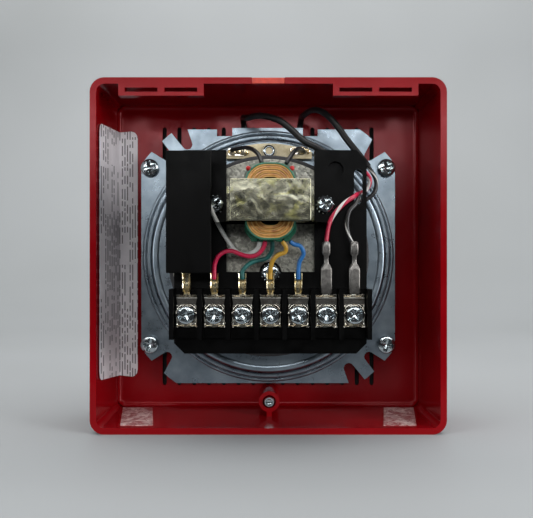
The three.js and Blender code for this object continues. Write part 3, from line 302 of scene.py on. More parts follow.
def black_moulded_pbt():
    """Black glass-filled PBT: semi-gloss, fine fibre texture and faint grey rub marks."""
    material, tree, shader, coords = finish("black_moulded_pbt", "#030303", 0.3, IOR=1.18)
    rub_marks_and_painted_reflection = spread(tree, noise(tree, coords, 2.5, 6, 0.75), 0, 0.35, 0.55, 0.8)
    join(tree, tint(tree, rub_marks_and_painted_reflection, "#020202", "#080809"), shader, "Base Color")
    join(tree, spread(tree, noise(tree, coords, 5, 4), 0.3, 0.48), shader, "Roughness")
    bump(tree, shader, noise(tree, coords, 0.35, 4), 0.012)
    return material


def nickel_plated_brass():
    """Stamped brass under bright nickel: warm grey with brownish patches that are painted reflection."""
    material, tree, shader, coords = finish("nickel_plated_brass", "#d6d1c6", 0.2, 1.0)
    # Brown patches in the base colour are painted brown reflection, not rubs.
    rub_marks_and_painted_reflection = spread(tree, noise(tree, coords, 2.2, 5, 0.7), 0, 0.7, 0.5, 0.75)
    join(tree, tint(tree, rub_marks_and_painted_reflection, "#d6d2c8", "#8d7455"), shader, "Base Color")
    join(tree, spread(tree, noise(tree, coords, 1.2, 5, 0.7), 0.08, 0.22), shader, "Roughness")
    bump(tree, shader, noise(tree, coords, 1.4, 3), 0.05)
    return material


def tinned_brass_tail():
    """Brass solder tail with a thin tin coat and flux stains, so it looks golden in its channel."""
    material, tree, shader, coords = finish("tinned_brass_tail", "#b5a473", 0.28, 1.0)
    stain = spread(tree, noise(tree, coords, 1.3, 5, 0.7), 0, 1, 0.4, 0.65)
    join(tree, tint(tree, stain, "#ddd5b8", "#a88c4c"), shader, "Base Color")
    join(tree, spread(tree, stain, 0.18, 0.42, 0, 1), shader, "Roughness")
    bump(tree, shader, noise(tree, coords, 0.7, 4), 0.03)
    return material


def bright_zinc_screw():
    """Cold-headed screw in bright blue zinc, with small forging marks in the head."""
    material, tree, shader, coords = finish("bright_zinc_screw", "#9aa3a8", 0.18, 1.0)
    mark = spread(tree, noise(tree, coords, 0.9, 5, 0.7), 0, 1)
    join(tree, tint(tree, mark, "#8e989d", "#c4cccf"), shader, "Base Color")
    join(tree, spread(tree, noise(tree, coords, 0.6, 4), 0.06, 0.2), shader, "Roughness")
    bump(tree, shader, noise(tree, coords, 0.9, 3), 0.045)
    return material


def dull_tinned_crimp():
    """Tin-plated crimp terminal, dulled: pale grey-brown with soft highlights."""
    material, tree, shader, coords = finish("dull_tinned_crimp", "#6f6c68", 0.34, 0.9)
    cloud = spread(tree, noise(tree, coords, 1.6, 5, 0.7), 0, 1)
    join(tree, tint(tree, cloud, "#5b5956", "#8b8884"), shader, "Base Color")
    bump(tree, shader, noise(tree, coords, 0.6, 4), 0.02)
    return material


def extruded_pvc(name, colour, shade, stripe=None, share=0.24):
    """Extruded PVC insulation: smooth, waxy sheen; a tracer stripe winds slowly along the wire."""
    material, tree, shader, coords = finish(name, colour, 0.34, IOR=1.52)
    base = tint(tree, spread(tree, noise(tree, coords, 1.8, 3), 0, 1), colour, shade)
    if stripe:
        uv = add(tree, "ShaderNodeUVMap", uv_map="along").outputs["UV"]
        part = add(tree, "ShaderNodeSeparateXYZ", {"Vector": uv})
        turns = add(tree, "ShaderNodeMath", {0: part.outputs["Y"]}, {1: 0.055}, operation="MULTIPLY")
        angle = add(tree, "ShaderNodeMath", {0: part.outputs["X"], 1: turns.outputs[0]}, operation="ADD")
        phase = add(tree, "ShaderNodeMath", {0: angle.outputs[0]}, operation="FRACT")
        band = add(tree, "ShaderNodeMath", {0: phase.outputs[0]}, {1: share}, operation="LESS_THAN")
        base = tint(tree, band.outputs[0], base, stripe)
    join(tree, base, shader, "Base Color")
    join(tree, spread(tree, noise(tree, coords, 1.1, 3), 0.28, 0.45), shader, "Roughness")
    bump(tree, shader, noise(tree, coords, 0.9, 3), 0.02)
    return material


def black_sleeving():
    """Heat-aged black rubber-like sleeving: matt charcoal with a soft dusty bloom."""
    material, tree, shader, coords = finish("black_sleeving", "#0b0b0c", 0.36, IOR=1.35)
    bloom = spread(tree, noise(tree, coords, 1.5, 5, 0.7), 0, 1)
    join(tree, tint(tree, bloom, "#080809", "#131314"), shader, "Base Color")
    bump(tree, shader, noise(tree, coords, 0.5, 4), 0.02)
    return material


def paper_phenolic():
    """Punched paper-phenolic board: warm cream with flecks and flux stains."""
    material, tree, shader, coords = finish("paper_phenolic_board", "#cdbf98", 0.45)
    fleck = spread(tree, noise(tree, coords, 1.1, 5, 0.75), 0, 1)
    body = tint(tree, fleck, "#bfae86", "#dccfae")
    stain = spread(tree, noise(tree, coords, 6, 3), 0, 0.55, 0.5, 0.7)
    join(tree, tint(tree, stain, body, "#9b8350"), shader, "Base Color")
    bump(tree, shader, fleck, 0.03)
    return material


def flux_and_solder():
    """Solder joint under amber flux."""
    material, tree, shader, coords = finish("solder_under_flux", "#c4a556", 0.16, 0.75)
    pool = spread(tree, noise(tree, coords, 1.4, 4), 0, 1)
    join(tree, tint(tree, pool, "#d8b258", "#f4efdf"), shader, "Base Color")
    bump(tree, shader, noise(tree, coords, 0.9, 4), 0.12)
    return material


def enamelled_wire():
    """Layer-wound enamelled copper under clear varnish: orange-brown bands of fine turns."""
    material, tree, shader, coords = finish(
        "enamelled_copper_winding", "#a5702f", 0.34, 0.35, Coat_Weight=0.5,
    )
    layer = noise(tree, coords, 2.4, 4)
    join(tree, tint(tree, spread(tree, layer, 0, 1), "#8a5524", "#c9934a"), shader, "Base Color")
    bump(tree, shader, noise(tree, coords, 0.4, 3), 0.05)
    return material


def polyester_tape(name, colour, shade):
    """Polyester film tape, glossy and a little wrinkled."""
    material, tree, shader, coords = finish(name, colour, 0.25, IOR=1.6)
    mottle(tree, coords, shader, colour, shade, 3, 3)
    bump(tree, shader, noise(tree, coords, 1.6, 4), 0.07)
    return material


def bobbin_nylon():
    """Glass-filled nylon bobbin, grey-green and slightly translucent."""
    material, tree, shader, coords = finish("bobbin_nylon", "#5d6a5c", 0.4, Subsurface_Weight=0.1)
    shader.inputs["Subsurface Radius"].default_value = (0.001, 0.001, 0.0006)
    mottle(tree, coords, shader, "#4d5a4e", "#7a8475", 2, 4)
    return material


def polarity_paint():
    """Dab of red paint."""
    material, tree, shader, coords = finish("red_paint_dab", "#b00d10", 0.3)
    mottle(tree, coords, shader, "#a00a0d", "#cf1518", 0.6)
    return material


def clear_polycarbonate():
    """Clear moulded polycarbonate."""
    material, tree, shader, coords = finish(
        "clear_polycarbonate", "#f2f6f7", 0.04, IOR=1.58, Transmission_Weight=1.0,
    )
    mottle(tree, coords, shader, "#eef3f4", "#fbfdfd", 12)
    bump(tree, shader, noise(tree, coords, 16, 2), 0.03)
    return material


def tube_glass():
    """Borosilicate tube with a faint grey tinge from the electrodes."""
    material, tree, shader, coords = finish(
        "borosilicate_glass", "#eef2f2", 0.02, IOR=1.47, Transmission_Weight=1.0,
    )
    mottle(tree, coords, shader, "#dfe6e8", "#ffffff", 6)
    return material


def metallised_plastic():
    """Vacuum-metallised reflector with the orange peel of the plastic under it."""
    material, tree, shader, coords = finish("metallised_plastic", "#dcdedf", 0.09, 1.0)
    mottle(tree, coords, shader, "#d0d3d5", "#eceeee", 9)
    bump(tree, shader, noise(tree, coords, 1.5, 3), 0.01)
    return material


def solder_mask_board():
    """Glass-epoxy board under green solder mask with buried tracks."""
    material, tree, shader, coords = finish("solder_mask_board", "#1f5a34", 0.35)
    tracks = add(
        tree, "ShaderNodeTexBrick", {"Vector": coords},
        {"Scale": 160.0, "Color1": linear("#1f5a34"), "Color2": linear("#2a6b40"),
         "Mortar": linear("#174628"), "Mortar Size": 0.08},
    )
    join(tree, tracks.outputs["Color"], shader, "Base Color")
    bump(tree, shader, tracks.outputs["Fac"], 0.03)
    return material


def shrink_sleeve():
    """PVC shrink sleeve over an aluminium can."""
    material, tree, shader, coords = finish("capacitor_shrink_sleeve", "#23262b", 0.3)
    mottle(tree, coords, shader, "#1d2025", "#30343b", 5)
    bump(tree, shader, noise(tree, coords, 3, 3), 0.03)
    return material


def pressed_pulp():
    """Pressed paper pulp cone: black-brown felted fibres."""
    material, tree, shader, coords = finish("pressed_pulp_cone", "#262320", 0.85)
    fibre = noise(tree, coords, 0.9, 6, 0.8, 1.0)
    join(tree, tint(tree, spread(tree, fibre, 0, 1), "#1d1a18", "#3a352f"), shader, "Base Color")
    bump(tree, shader, fibre, 0.08)
    return material


def doped_surround():
    """Doped cloth and rubber roll."""
    material, tree, shader, coords = finish("doped_surround", "#1a1a1a", 0.55)
    weave = noise(tree, coords, 0.4, 4)
    join(tree, tint(tree, spread(tree, weave, 0, 1), "#151515", "#262626"), shader, "Base Color")
    bump(tree, shader, weave, 0.03)
    return material


def resin_cloth():
    """Woven spider dipped in phenolic resin."""
    material, tree, shader, coords = finish("resin_dipped_cloth", "#b08a4a", 0.8)
    weave = add(
        tree, "ShaderNodeTexChecker", {"Vector": coords},
        {"Scale": 1000 / 0.6, "Color1": linear("#a37c3d"), "Color2": linear("#c09a58")},
    )
    join(tree, weave.outputs["Color"], shader, "Base Color")
    bump(tree, shader, weave.outputs["Fac"], 0.06)
    return material


def varnished_coil():
    """Fine copper turns varnished onto a paper former."""
    material, tree, shader, coords = finish("varnished_voice_coil", "#9a5f2c", 0.3, 0.5)
    turns = add(
        tree, "ShaderNodeTexWave", {"Vector": coords}, {"Scale": 300.0, "Distortion": 0.1},
        bands_direction="Y",
    ).outputs["Fac"]
    join(tree, tint(tree, turns, "#7c4920", "#bd7a3c"), shader, "Base Color")
    bump(tree, shader, turns, 0.05)
    return material


def dipped_film():
    """Epoxy-dipped film capacitor, mustard yellow."""
    material, tree, shader, coords = finish("dipped_film_capacitor", "#b8922f", 0.3)
    mottle(tree, coords, shader, "#a8842a", "#cba43c", 4)
    bump(tree, shader, noise(tree, coords, 4, 3), 0.1)
    return material


def grille_cloth_weave():
    """Black acoustic cloth."""
    material, tree, shader, coords = finish("black_acoustic_cloth", "#0e0a0b", 0.9)
    weave = noise(tree, coords, 0.5, 3)
    join(tree, tint(tree, spread(tree, weave, 0, 1), "#090607", "#181213"), shader, "Base Color")
    bump(tree, shader, weave, 0.05)
    return material


def painted_reflection_finish():
    """Rough red surface whose pale streaks are a painted reflection of the light, not a real patch in the
    moulding.
    """
    material, tree, shader, coords = finish("red_abs_painted_reflection", "#a8575a", 0.42, IOR=1.5)
    # Pale streaks in the base colour are painted reflection.
    painted_streak = spread(tree, noise(tree, coords, 4, 5, 0.7, 1.6), 0, 1, 0.42, 0.62)
    join(tree, tint(tree, painted_streak, "#8f3f42", "#e3c9c5"), shader, "Base Color")
    bump(tree, shader, painted_streak, 0.15)
    return material


MATERIAL = {
    "red": moulded_red_abs(),
    "peep": peep_window_abs(),
    "label": printed_label(),
    "cloth": grille_cloth_weave(),
    # Painted reflection for the lower wall's corners.
    "painted_reflection": painted_reflection_finish(),
    "zinc": zinc_plated_steel(),
    "spangle": spangled_galvanised_steel(),
    "ferrite": sintered_ferrite(),
    "chromate": yellow_chromate_steel(),
    "core": laminated_core(),
    "black": black_moulded_pbt(),
    "nickel": nickel_plated_brass(),
    "tail": tinned_brass_tail(),
    "screw": bright_zinc_screw(),
    "crimp": dull_tinned_crimp(),
    "sleeving": black_sleeving(),
    "phenolic": paper_phenolic(),
    "solder": flux_and_solder(),
    "copper": enamelled_wire(),
    "tape": polyester_tape("green_polyester_tape", "#1d5a44", "#2f7357"),
    "amber_tape": polyester_tape("amber_polyester_tape", "#b98d4a", "#d2a866"),
    "bobbin": bobbin_nylon(),
    "dab": polarity_paint(),
    "clear": clear_polycarbonate(),
    "glass": tube_glass(),
    "mirror": metallised_plastic(),
    "board": solder_mask_board(),
    "foil": shrink_sleeve(),
    "pulp": pressed_pulp(),
    "surround": doped_surround(),
    "spider": resin_cloth(),
    "coil": varnished_coil(),
    "film": dipped_film(),
    "pvc_white": extruded_pvc("white_pvc", "#dadad6", "#c4c4c0"),
    "pvc_red": extruded_pvc("crimson_pvc", "#c20a42", "#a40837"),
    "pvc_green": extruded_pvc("teal_pvc", "#10605a", "#0c4b48"),
    "pvc_yellow": extruded_pvc("ochre_pvc", "#c2962d", "#a87f22"),
    "pvc_blue": extruded_pvc("blue_pvc", "#0a68ac", "#08548e"),
    "pvc_red_white": extruded_pvc("red_white_pvc", "#b8123c", "#9b0e32", "#cfccc9"),
    "pvc_black_white": extruded_pvc("black_white_pvc", "#0d0d0f", "#161618", "#b4b3af", 0.12),
}


# ---- Meshes ----------------------------------------------------------------------------------

def dressed(name, mesh, finish_name, node, replaces=True, angle=40):
    """Links a mesh as a piece that rides with its CAD node's body and wears a finish."""
    piece = bpy.data.objects.new(name, mesh)
    bpy.context.scene.collection.objects.link(piece)
    mesh.materials.clear()
    mesh.materials.append(MATERIAL[finish_name])
    mesh.polygons.foreach_set("use_smooth", np.ones(len(mesh.polygons), bool))
    mesh.set_sharp_from_angle(angle=math.radians(angle))
    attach(piece, BODY_OF[node])
    if replaces:
        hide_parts(node)
    return piece


def closed(mesh, flatten=False):
    """Merges doubles and turns every face outwards; flatten also joins triangles of one plane."""
    work = bmesh.new()
    work.from_mesh(mesh)
    bmesh.ops.remove_doubles(work, verts=work.verts, dist=2e-6)
    if flatten:
        bmesh.ops.dissolve_limit(work, angle_limit=math.radians(0.6), verts=work.verts, edges=work.edges)
    bmesh.ops.recalc_face_normals(work, faces=work.faces)
    work.to_mesh(mesh)
    work.free()
    return mesh


def refined(node, finish_name, bevel=0.25, angle=35, steps=2):
    """A copy of a CAD solid with its planes joined and its edges rounded by `bevel` mm."""
    mesh = closed(frame["nodes"][node].data.copy(), flatten=True)
    piece = dressed("fine_" + node, mesh, finish_name, node, angle=180 if bevel else 40)
    if bevel:
        edge = piece.modifiers.new("edge", "BEVEL")
        edge.width = bevel / 1000
        edge.segments = steps
        edge.limit_method = "ANGLE"
        edge.angle_limit = math.radians(angle)
        edge.use_clamp_overlap = True
        mesh.set_sharp_from_angle(angle=math.radians(angle))
        weighted = piece.modifiers.new("flat_faces", "WEIGHTED_NORMAL")
        weighted.keep_sharp = False
    return piece


def grid_mesh(name, grid, around=True, along=False):
    """Faces between neighbouring points of a grid (rows, columns, 3) in bench millimetres."""
    rows, columns = grid.shape[:2]
    i = np.arange(rows if along else rows - 1)[:, None]
    j = np.arange(columns if around else columns - 1)[None, :]
    corner = [
        (i + di) % rows * columns + (j + dj) % columns for di, dj in ((0, 0), (0, 1), (1, 1), (1, 0))
    ]
    faces = np.stack([np.broadcast_to(c, (i.size, j.size)) for c in corner], -1).reshape(-1, 4)
    mesh = bpy.data.meshes.new(name)
    mesh.from_pydata(bench_to_row(grid).reshape(-1, 3).tolist(), [], faces.tolist())
    return mesh


def xyz(x, y, z):
    """One grid of points from three coordinates that broadcast together."""
    return np.stack(np.broadcast_arrays(x, y, z), -1)


def slab(name, upper, lower):
    """A closed sheet between two grids of points, its end rows drawn in to their middles."""
    loop = np.concatenate([upper, lower[:, ::-1]], 1)
    ends = [np.repeat(row.mean(0)[None, None], loop.shape[1], 1) for row in (loop[0], loop[-1])]
    return closed(grid_mesh(name, np.concatenate([ends[0], loop, ends[1]])))


def softened(points, radius, steps=3):
    """Rounds each corner of a profile with a quadratic arc that starts `radius` before it."""
    p = np.asarray(points, float)
    out = [p[:1]]
    t = np.linspace(0, 1, steps + 1)[:, None]
    for before, corner, after in zip(p[:-2], p[1:-1], p[2:]):
        reach = [min(radius / max(np.linalg.norm(q - corner), 1e-9), 0.45) for q in (before, after)]
        a = corner + (before - corner) * reach[0]
        b = corner + (after - corner) * reach[1]
        out.append((1 - t) ** 2 * a + 2 * t * (1 - t) * corner + t ** 2 * b)
    out.append(p[-1:])
    return np.concatenate(out)


def turned(name, profile, centre=(0, 0), sides=128, axis="z"):
    """A profile of (radius, height) points carried round an axis: x = r cos a, y = r sin a."""
    profile = np.asarray(profile, float)
    angle = np.linspace(0, 2 * math.pi, sides, endpoint=False)
    r, h = profile[:, :1], profile[:, 1:]
    a, b = r * np.cos(angle) + centre[0], r * np.sin(angle) + centre[1]
    grid = xyz(a, b, h) if axis == "z" else xyz(a, h, b)
    ring = not np.allclose(profile[[0, -1], 0], 0)
    return closed(grid_mesh(name, grid, along=ring))


def ring_profile(inner, outer, low, high, radius=0.3):
    """A rectangular ring's section with rounded corners, as a closed run of (radius, height)."""
    corners = [(inner, (low + high) / 2), (inner, low), (outer, low), (outer, high), (inner, high),
               (inner, (low + high) / 2)]
    return softened(corners, radius)[:-1]


def smooth_route(points, step):
    """Centripetal Catmull-Rom curve through the points, resampled at even steps along its length."""
    p = np.asarray(points, float)
    p = np.concatenate([[2 * p[0] - p[1]], p, [2 * p[-1] - p[-2]]])
    curve = []
    for a, b, c, d in zip(p[:-3], p[1:-2], p[2:-1], p[3:]):
        knots = np.cumsum([0] + [np.linalg.norm(v) ** 0.5 for v in (b - a, c - b, d - c)])
        t = np.linspace(knots[1], knots[2], 24, endpoint=False)[:, None]
        k0, k1, k2, k3 = knots
        a1 = (k1 - t) / (k1 - k0) * a + (t - k0) / (k1 - k0) * b
        a2 = (k2 - t) / (k2 - k1) * b + (t - k1) / (k2 - k1) * c
        a3 = (k3 - t) / (k3 - k2) * c + (t - k2) / (k3 - k2) * d
        b1 = (k2 - t) / (k2 - k0) * a1 + (t - k0) / (k2 - k0) * a2
        b2 = (k3 - t) / (k3 - k1) * a2 + (t - k1) / (k3 - k1) * a3
        curve.append((k2 - t) / (k2 - k1) * b1 + (t - k1) / (k2 - k1) * b2)
    curve = np.concatenate(curve + [p[-2:-1]])
    length = np.concatenate([[0], np.cumsum(np.linalg.norm(np.diff(curve, axis=0), axis=1))])
    stations = np.linspace(0, length[-1], max(int(length[-1] / step), 8))
    return np.stack([np.interp(stations, length, curve[:, k]) for k in range(3)], -1), stations


def tube(name, points, diameter, step=0.5, sides=16, round_end=0.12):
    """A circle carried along a smooth route on turning-free frames; its UV holds turn and length."""
    path, stations = smooth_route(points, step)
    tangent = np.gradient(path, axis=0)
    tangent /= np.linalg.norm(tangent, axis=1, keepdims=True)
    normal = np.cross(tangent[0], [0.3, 0.1, 1])
    normals = []
    for t in tangent:
        normal = normal - t * normal.dot(t)
        normal = normal / np.linalg.norm(normal)
        normals.append(normal)
    normals = np.array(normals)
    across = np.cross(tangent, normals)
    angle = np.linspace(0, 2 * math.pi, sides, endpoint=False)
    radius = np.full(len(path), diameter / 2)
    radius[[0, -1]] *= 1 - round_end
    ring = normals[:, None] * np.cos(angle)[:, None] + across[:, None] * np.sin(angle)[:, None]
    grid = path[:, None] + ring * radius[:, None, None]
    grid = np.concatenate([np.repeat(path[:1, None], sides, 1), grid, np.repeat(path[-1:, None], sides, 1)])
    mesh = grid_mesh(name, grid)
    turn = np.tile(np.arange(sides) / sides, len(grid))
    along = np.repeat(np.concatenate([stations[:1], stations, stations[-1:]]), sides)
    loops = np.zeros(len(mesh.loops), int)
    mesh.loops.foreach_get("vertex_index", loops)
    uv = np.stack([turn[loops], along[loops]], -1)
    # The seam's last face runs from the last side back to 0, so its far corners read 1.
    face_turn = uv[:, 0].reshape(-1, 4)
    wraps = face_turn.max(1) > 0.9
    face_turn[wraps] = np.where(face_turn[wraps] < 0.5, 1.0, face_turn[wraps])
    uv[:, 0] = face_turn.ravel()
    layer = mesh.uv_layers.new(name="along")
    layer.data.foreach_set("uv", uv.ravel())
    return closed(mesh)


def lofted(name, stations, axis_points, sides=24):
    """Superellipse sections (width, height, squareness, crease) at points along y, capped."""
    angle = np.linspace(0, 2 * math.pi, sides, endpoint=False)
    c, s = np.cos(angle), np.sin(angle)
    rows = []
    for (width, height, square, crease), (x, y, z) in zip(stations, axis_points):
        px = width / 2 * np.sign(c) * np.abs(c) ** (2 / square)
        pz = height / 2 * np.sign(s) * np.abs(s) ** (2 / square)
        pz = pz - crease * np.exp(-(px / 0.45) ** 2) * (s > 0)
        rows.append(xyz(x + px, y, z + pz))
    first = np.repeat(rows[0].mean(0)[None], sides, 0)
    last = np.repeat(rows[-1].mean(0)[None], sides, 0)
    return closed(grid_mesh(name, np.array([first] + rows + [last])))


def banded(name, half_width, half_length, corner, centre, z_low, z_high, sheet, soft=0.15, per_corner=10):
    """A flat band with rounded edges carried round a rounded rectangle of the given outer size."""
    quarter = np.linspace(0, math.pi / 2, per_corner)
    signs = np.array([(1, 1), (-1, 1), (-1, -1), (1, -1)])
    anchor = np.repeat(signs * [half_width - corner, half_length - corner], per_corner, 0)
    angle = np.concatenate([quarter + k * math.pi / 2 for k in range(4)])
    outward = np.stack([np.cos(angle), np.sin(angle)], -1)
    section = ring_profile(corner - sheet, corner, z_low, z_high, soft)
    rows = []
    for r, z in section:
        flat = anchor + outward * r
        rows.append(np.concatenate([flat + np.asarray(centre), np.full((len(flat), 1), z)], 1))
    return closed(grid_mesh(name, np.array(rows), along=True))


def tile(name, outline, z_low, z_high, soft=0.25):
    """A thin plate: an outline of points drawn in at both faces by `soft` mm to round its edge."""
    p = np.asarray(outline, float)
    middle = p.mean(0)
    toward = p - middle
    shrink = 1 - soft / np.linalg.norm(toward, axis=1, keepdims=True).mean()
    levels = [
        (0, z_low), (shrink, z_low), (1, z_low + soft), (1, z_high - soft), (shrink, z_high), (0, z_high),
    ]
    rows = [np.concatenate([middle + toward * k, np.full((len(p), 1), z)], 1) for k, z in levels]
    return closed(grid_mesh(name, np.array(rows)))


def rounded_outline(half_width, half_length, corner, centre, per_corner=8):
    """Points of a rounded rectangle, counterclockwise."""
    quarter = np.linspace(0, math.pi / 2, per_corner)
    out = []
    for k, (sx, sy) in enumerate([(1, 1), (-1, 1), (-1, -1), (1, -1)]):
        a = quarter + k * math.pi / 2
        x = sx * (half_width - corner) + corner * np.cos(a)
        y = sy * (half_length - corner) + corner * np.sin(a)
        out.append(np.stack([x + centre[0], y + centre[1]], -1))
    return np.concatenate(out)


# ---- Housing and front -----------------------------------------------------------------------

refined("housing", "red", bevel=0.4, angle=40)
refined("strobe_lens", "clear", bevel=0.4, angle=50)
refined("strobe_reflector", "mirror", bevel=0.3)
refined("strobe_board", "board", bevel=0.15)


def rating_label():
    """One sheet that runs down the wall and folds onto the floor. With s along the fold line's
    normal and t along the wall it is a rounded trapezium, its corners quarter circles."""
    low, high = bench_box("rating_label")
    wall, fold = low[0], low[2]
    across, down = high[0] - wall, high[2] - fold
    width = down + across
    corner, columns = 3.2, 40
    taper_low, taper_high, top_gap = 4.2, 2.8, 1.4
    draft, right_gap = 0.75, 0.8
    under_side, face = 0.05, 0.27
    s = np.concatenate([
        np.linspace(0, corner, 10), np.linspace(corner, width - corner, 60)[1:-1],
        np.linspace(width - corner, width, 10),
    ])
    near = np.minimum(np.minimum(s, width - s), corner)
    trim = corner - np.sqrt(np.clip(corner ** 2 - (corner - near) ** 2, 0, None))
    left = 1 - s / width
    bottom = (low[1] + taper_low * left + trim)[:, None]
    top = (high[1] - top_gap - taper_high * left - trim)[:, None]
    y = bottom + (top - bottom) * np.linspace(0, 1, columns)
    on_wall = np.clip(down - s, 0, None)
    on_floor = np.clip(s - down, 0, None)
    sheets = []
    for lift in (under_side, face):
        x = wall + lift + draft * (1 - on_wall / down) + on_floor * (across - right_gap - lift) / across
        sheets.append(xyz(x[:, None], y, (fold + lift + on_wall)[:, None]))
    dressed("fine_rating_label", slab("label", *sheets), "label", "rating_label", angle=50)


def grille_cloth():
    """Black cloth moulded into the front wall, seen only through the grille slots."""
    frame_high = bench_box("speaker_frame")[1]
    front = bench_box("housing")[0][2]
    margin, corner, depth, sheet = 6, 3, 0.9, 0.2
    outline = rounded_outline(frame_high[0] + margin, frame_high[1] + margin, corner, (0, 0))
    mesh = tile("cloth", outline, front + depth, front + depth + sheet, 0.05)
    dressed("grille_cloth", mesh, "cloth", "housing", False)


def floor_fillet():
    """Concave fillet where the walls meet the floor: a quarter circle swept round the floor."""
    radius = 1.7
    front_sheet, draft = 2.5, 0.88
    floor = bench_box("housing")[0][2] + front_sheet
    half = HALF - WALL - draft
    t = np.linspace(0, math.pi / 2, 8)
    section = [(0.1, -0.1)] + [(-radius * (1 - math.sin(a)), radius * (1 - math.cos(a))) for a in t]
    corner = 3.2
    rows = []
    for offset, height in section:
        flat = rounded_outline(half + offset, half + offset, corner + offset, (0, 0))
        rows.append(np.concatenate([flat, np.full((len(flat), 1), floor + height)], 1))
    mesh = closed(grid_mesh("fillet", np.array(rows), along=True))
    dressed("floor_fillet", mesh, "red", "housing", False, 60)


def corner_reflection_sheets():
    """Two thin sheets on the lower wall, one near each corner, that carry a painted reflection."""
    rear, length, sheet = -3.4, 27.6, 0.3
    t = np.linspace(0, 1, 16)[:, None]
    u = np.linspace(0, 1, 16)[None, :]
    z = rear - length * t
    inner, outer = 42 + 4.7 * t, 54 + 4.6 * t
    draft = 0.9 * (-z / 35) + 0.12
    # Each sheet is a painted reflection laid on the wall.
    for side, name in ((-1, "left"), (1, "right")):
        upper = xyz(side * (inner + (outer - inner) * u), draft - (HALF - WALL), z)
        mesh = slab("painted_reflection", upper, upper - [0, sheet, 0])
        dressed(f"corner_painted_reflection_{name}", mesh, "painted_reflection", "housing", False, 40)


rating_label()
grille_cloth()
floor_fillet()
corner_reflection_sheets()


def peep_window():
    """Thin insert in the middle of the upper rim, rounded like the wall it closes."""
    half_width, half_height, corner, sunk = 5.9, 1.02, 0.4, 0.12
    outline = rounded_outline(half_width, half_height, corner, (0, HALF - WALL / 2))
    mesh = tile("peep_window", outline, -0.5 - sunk, -sunk, 0.12)
    dressed("peep_window", mesh, "peep", "housing", False)


def cover_screw():
    """Captive screw: dog point with a cup, shank and a slotted head under the grille face."""
    low, high = bench_box("cover_screw")
    x, y = (low[:2] + high[:2]) / 2
    r = 2.25
    thread = np.linspace(high[2] - 9, high[2] - 1.2, 40)
    ridges = r - 0.1 + 0.1 * np.cos(np.arange(40) * math.pi)
    profile = [(0, low[2]), (2.5, low[2]), (2.9, low[2] + 0.4), (2.9, low[2] + 2.2), (r - 0.2, low[2] + 2.3)]
    profile += list(zip(ridges, thread))
    profile += [(r - 0.1, high[2] - 1), (r - 0.5, high[2]), (1.25, high[2]), (1.1, high[2] - 0.2),
                (1.1, high[2] - 2), (0, high[2] - 2.3)]
    dressed("fine_cover_screw", turned("cover_screw", profile, (x, y), 48), "screw", "cover_screw", angle=30)


def flash_parts():
    """Glass flash tube on its pins, and the flash capacitor in its sleeve with a crimped end."""
    low, high = bench_box("flash_tube")
    z = low[2] + 2
    half = high[1]
    side = [(0, half), (1.2, half), (2, half - 1)]
    profile = softened([(r, -y) for r, y in side] + side[::-1], 0.4)
    dressed("fine_flash_tube", turned("flash_tube", profile, (0, z), 40, "y"), "glass", "flash_tube")
    low, high = bench_box("flash_capacitor")
    x, z = (low[0] + high[0]) / 2, (low[2] + high[2]) / 2
    r = (high[0] - low[0]) / 2
    profile = softened([
        (0, low[1]), (r - 0.8, low[1]), (r, low[1] + 0.6), (r, high[1] - 3), (r - 0.6, high[1] - 2.4),
        (r, high[1] - 1.8), (r, high[1] - 0.3), (r - 1, high[1]), (0, high[1] - 0.2),
    ], 0.3)
    mesh = turned("flash_capacitor", profile, (x, z), 48, "y")
    dressed("fine_flash_capacitor", mesh, "foil", "flash_capacitor")


peep_window()
cover_screw()
flash_parts()

# ---- Loudspeaker -----------------------------------------------------------------------------

fine_frame = refined("speaker_frame", "zinc", bevel=0.15, angle=32)

FLANGE_TOP = -30.0
SHELF_TOP = bench_box("speaker_frame")[1][2]
SHELF_RADIUS = 43
MOUTH = 50.2


def set_back_wall():
    """Moves the frame's steep wall inwards and its foot down, behind the pressed beads."""
    inwards, foot_height, foot_width = 1.6, 2.5, 3
    mesh = fine_frame.data
    points = np.zeros(len(mesh.vertices) * 3)
    mesh.vertices.foreach_get("co", points)
    points = points.reshape(-1, 3) * 1000 - [0, RIM_Y, CENTRE_Z]
    radius = np.hypot(points[:, 0], points[:, 2])
    between = (points[:, 1] > FLANGE_TOP + 0.5) & (points[:, 1] < SHELF_TOP - 1.5)
    wall = between & (radius > SHELF_RADIUS)
    foot = wall & (points[:, 1] < FLANGE_TOP + foot_height) & (radius > MOUTH - foot_width)
    points[wall] *= ((radius[wall] - inwards) / radius[wall])[:, None] ** [1, 0, 1]
    points[foot, 1] = FLANGE_TOP + 0.15
    mesh.vertices.foreach_set("co", ((points + [0, RIM_Y, CENTRE_Z]) / 1000).ravel())


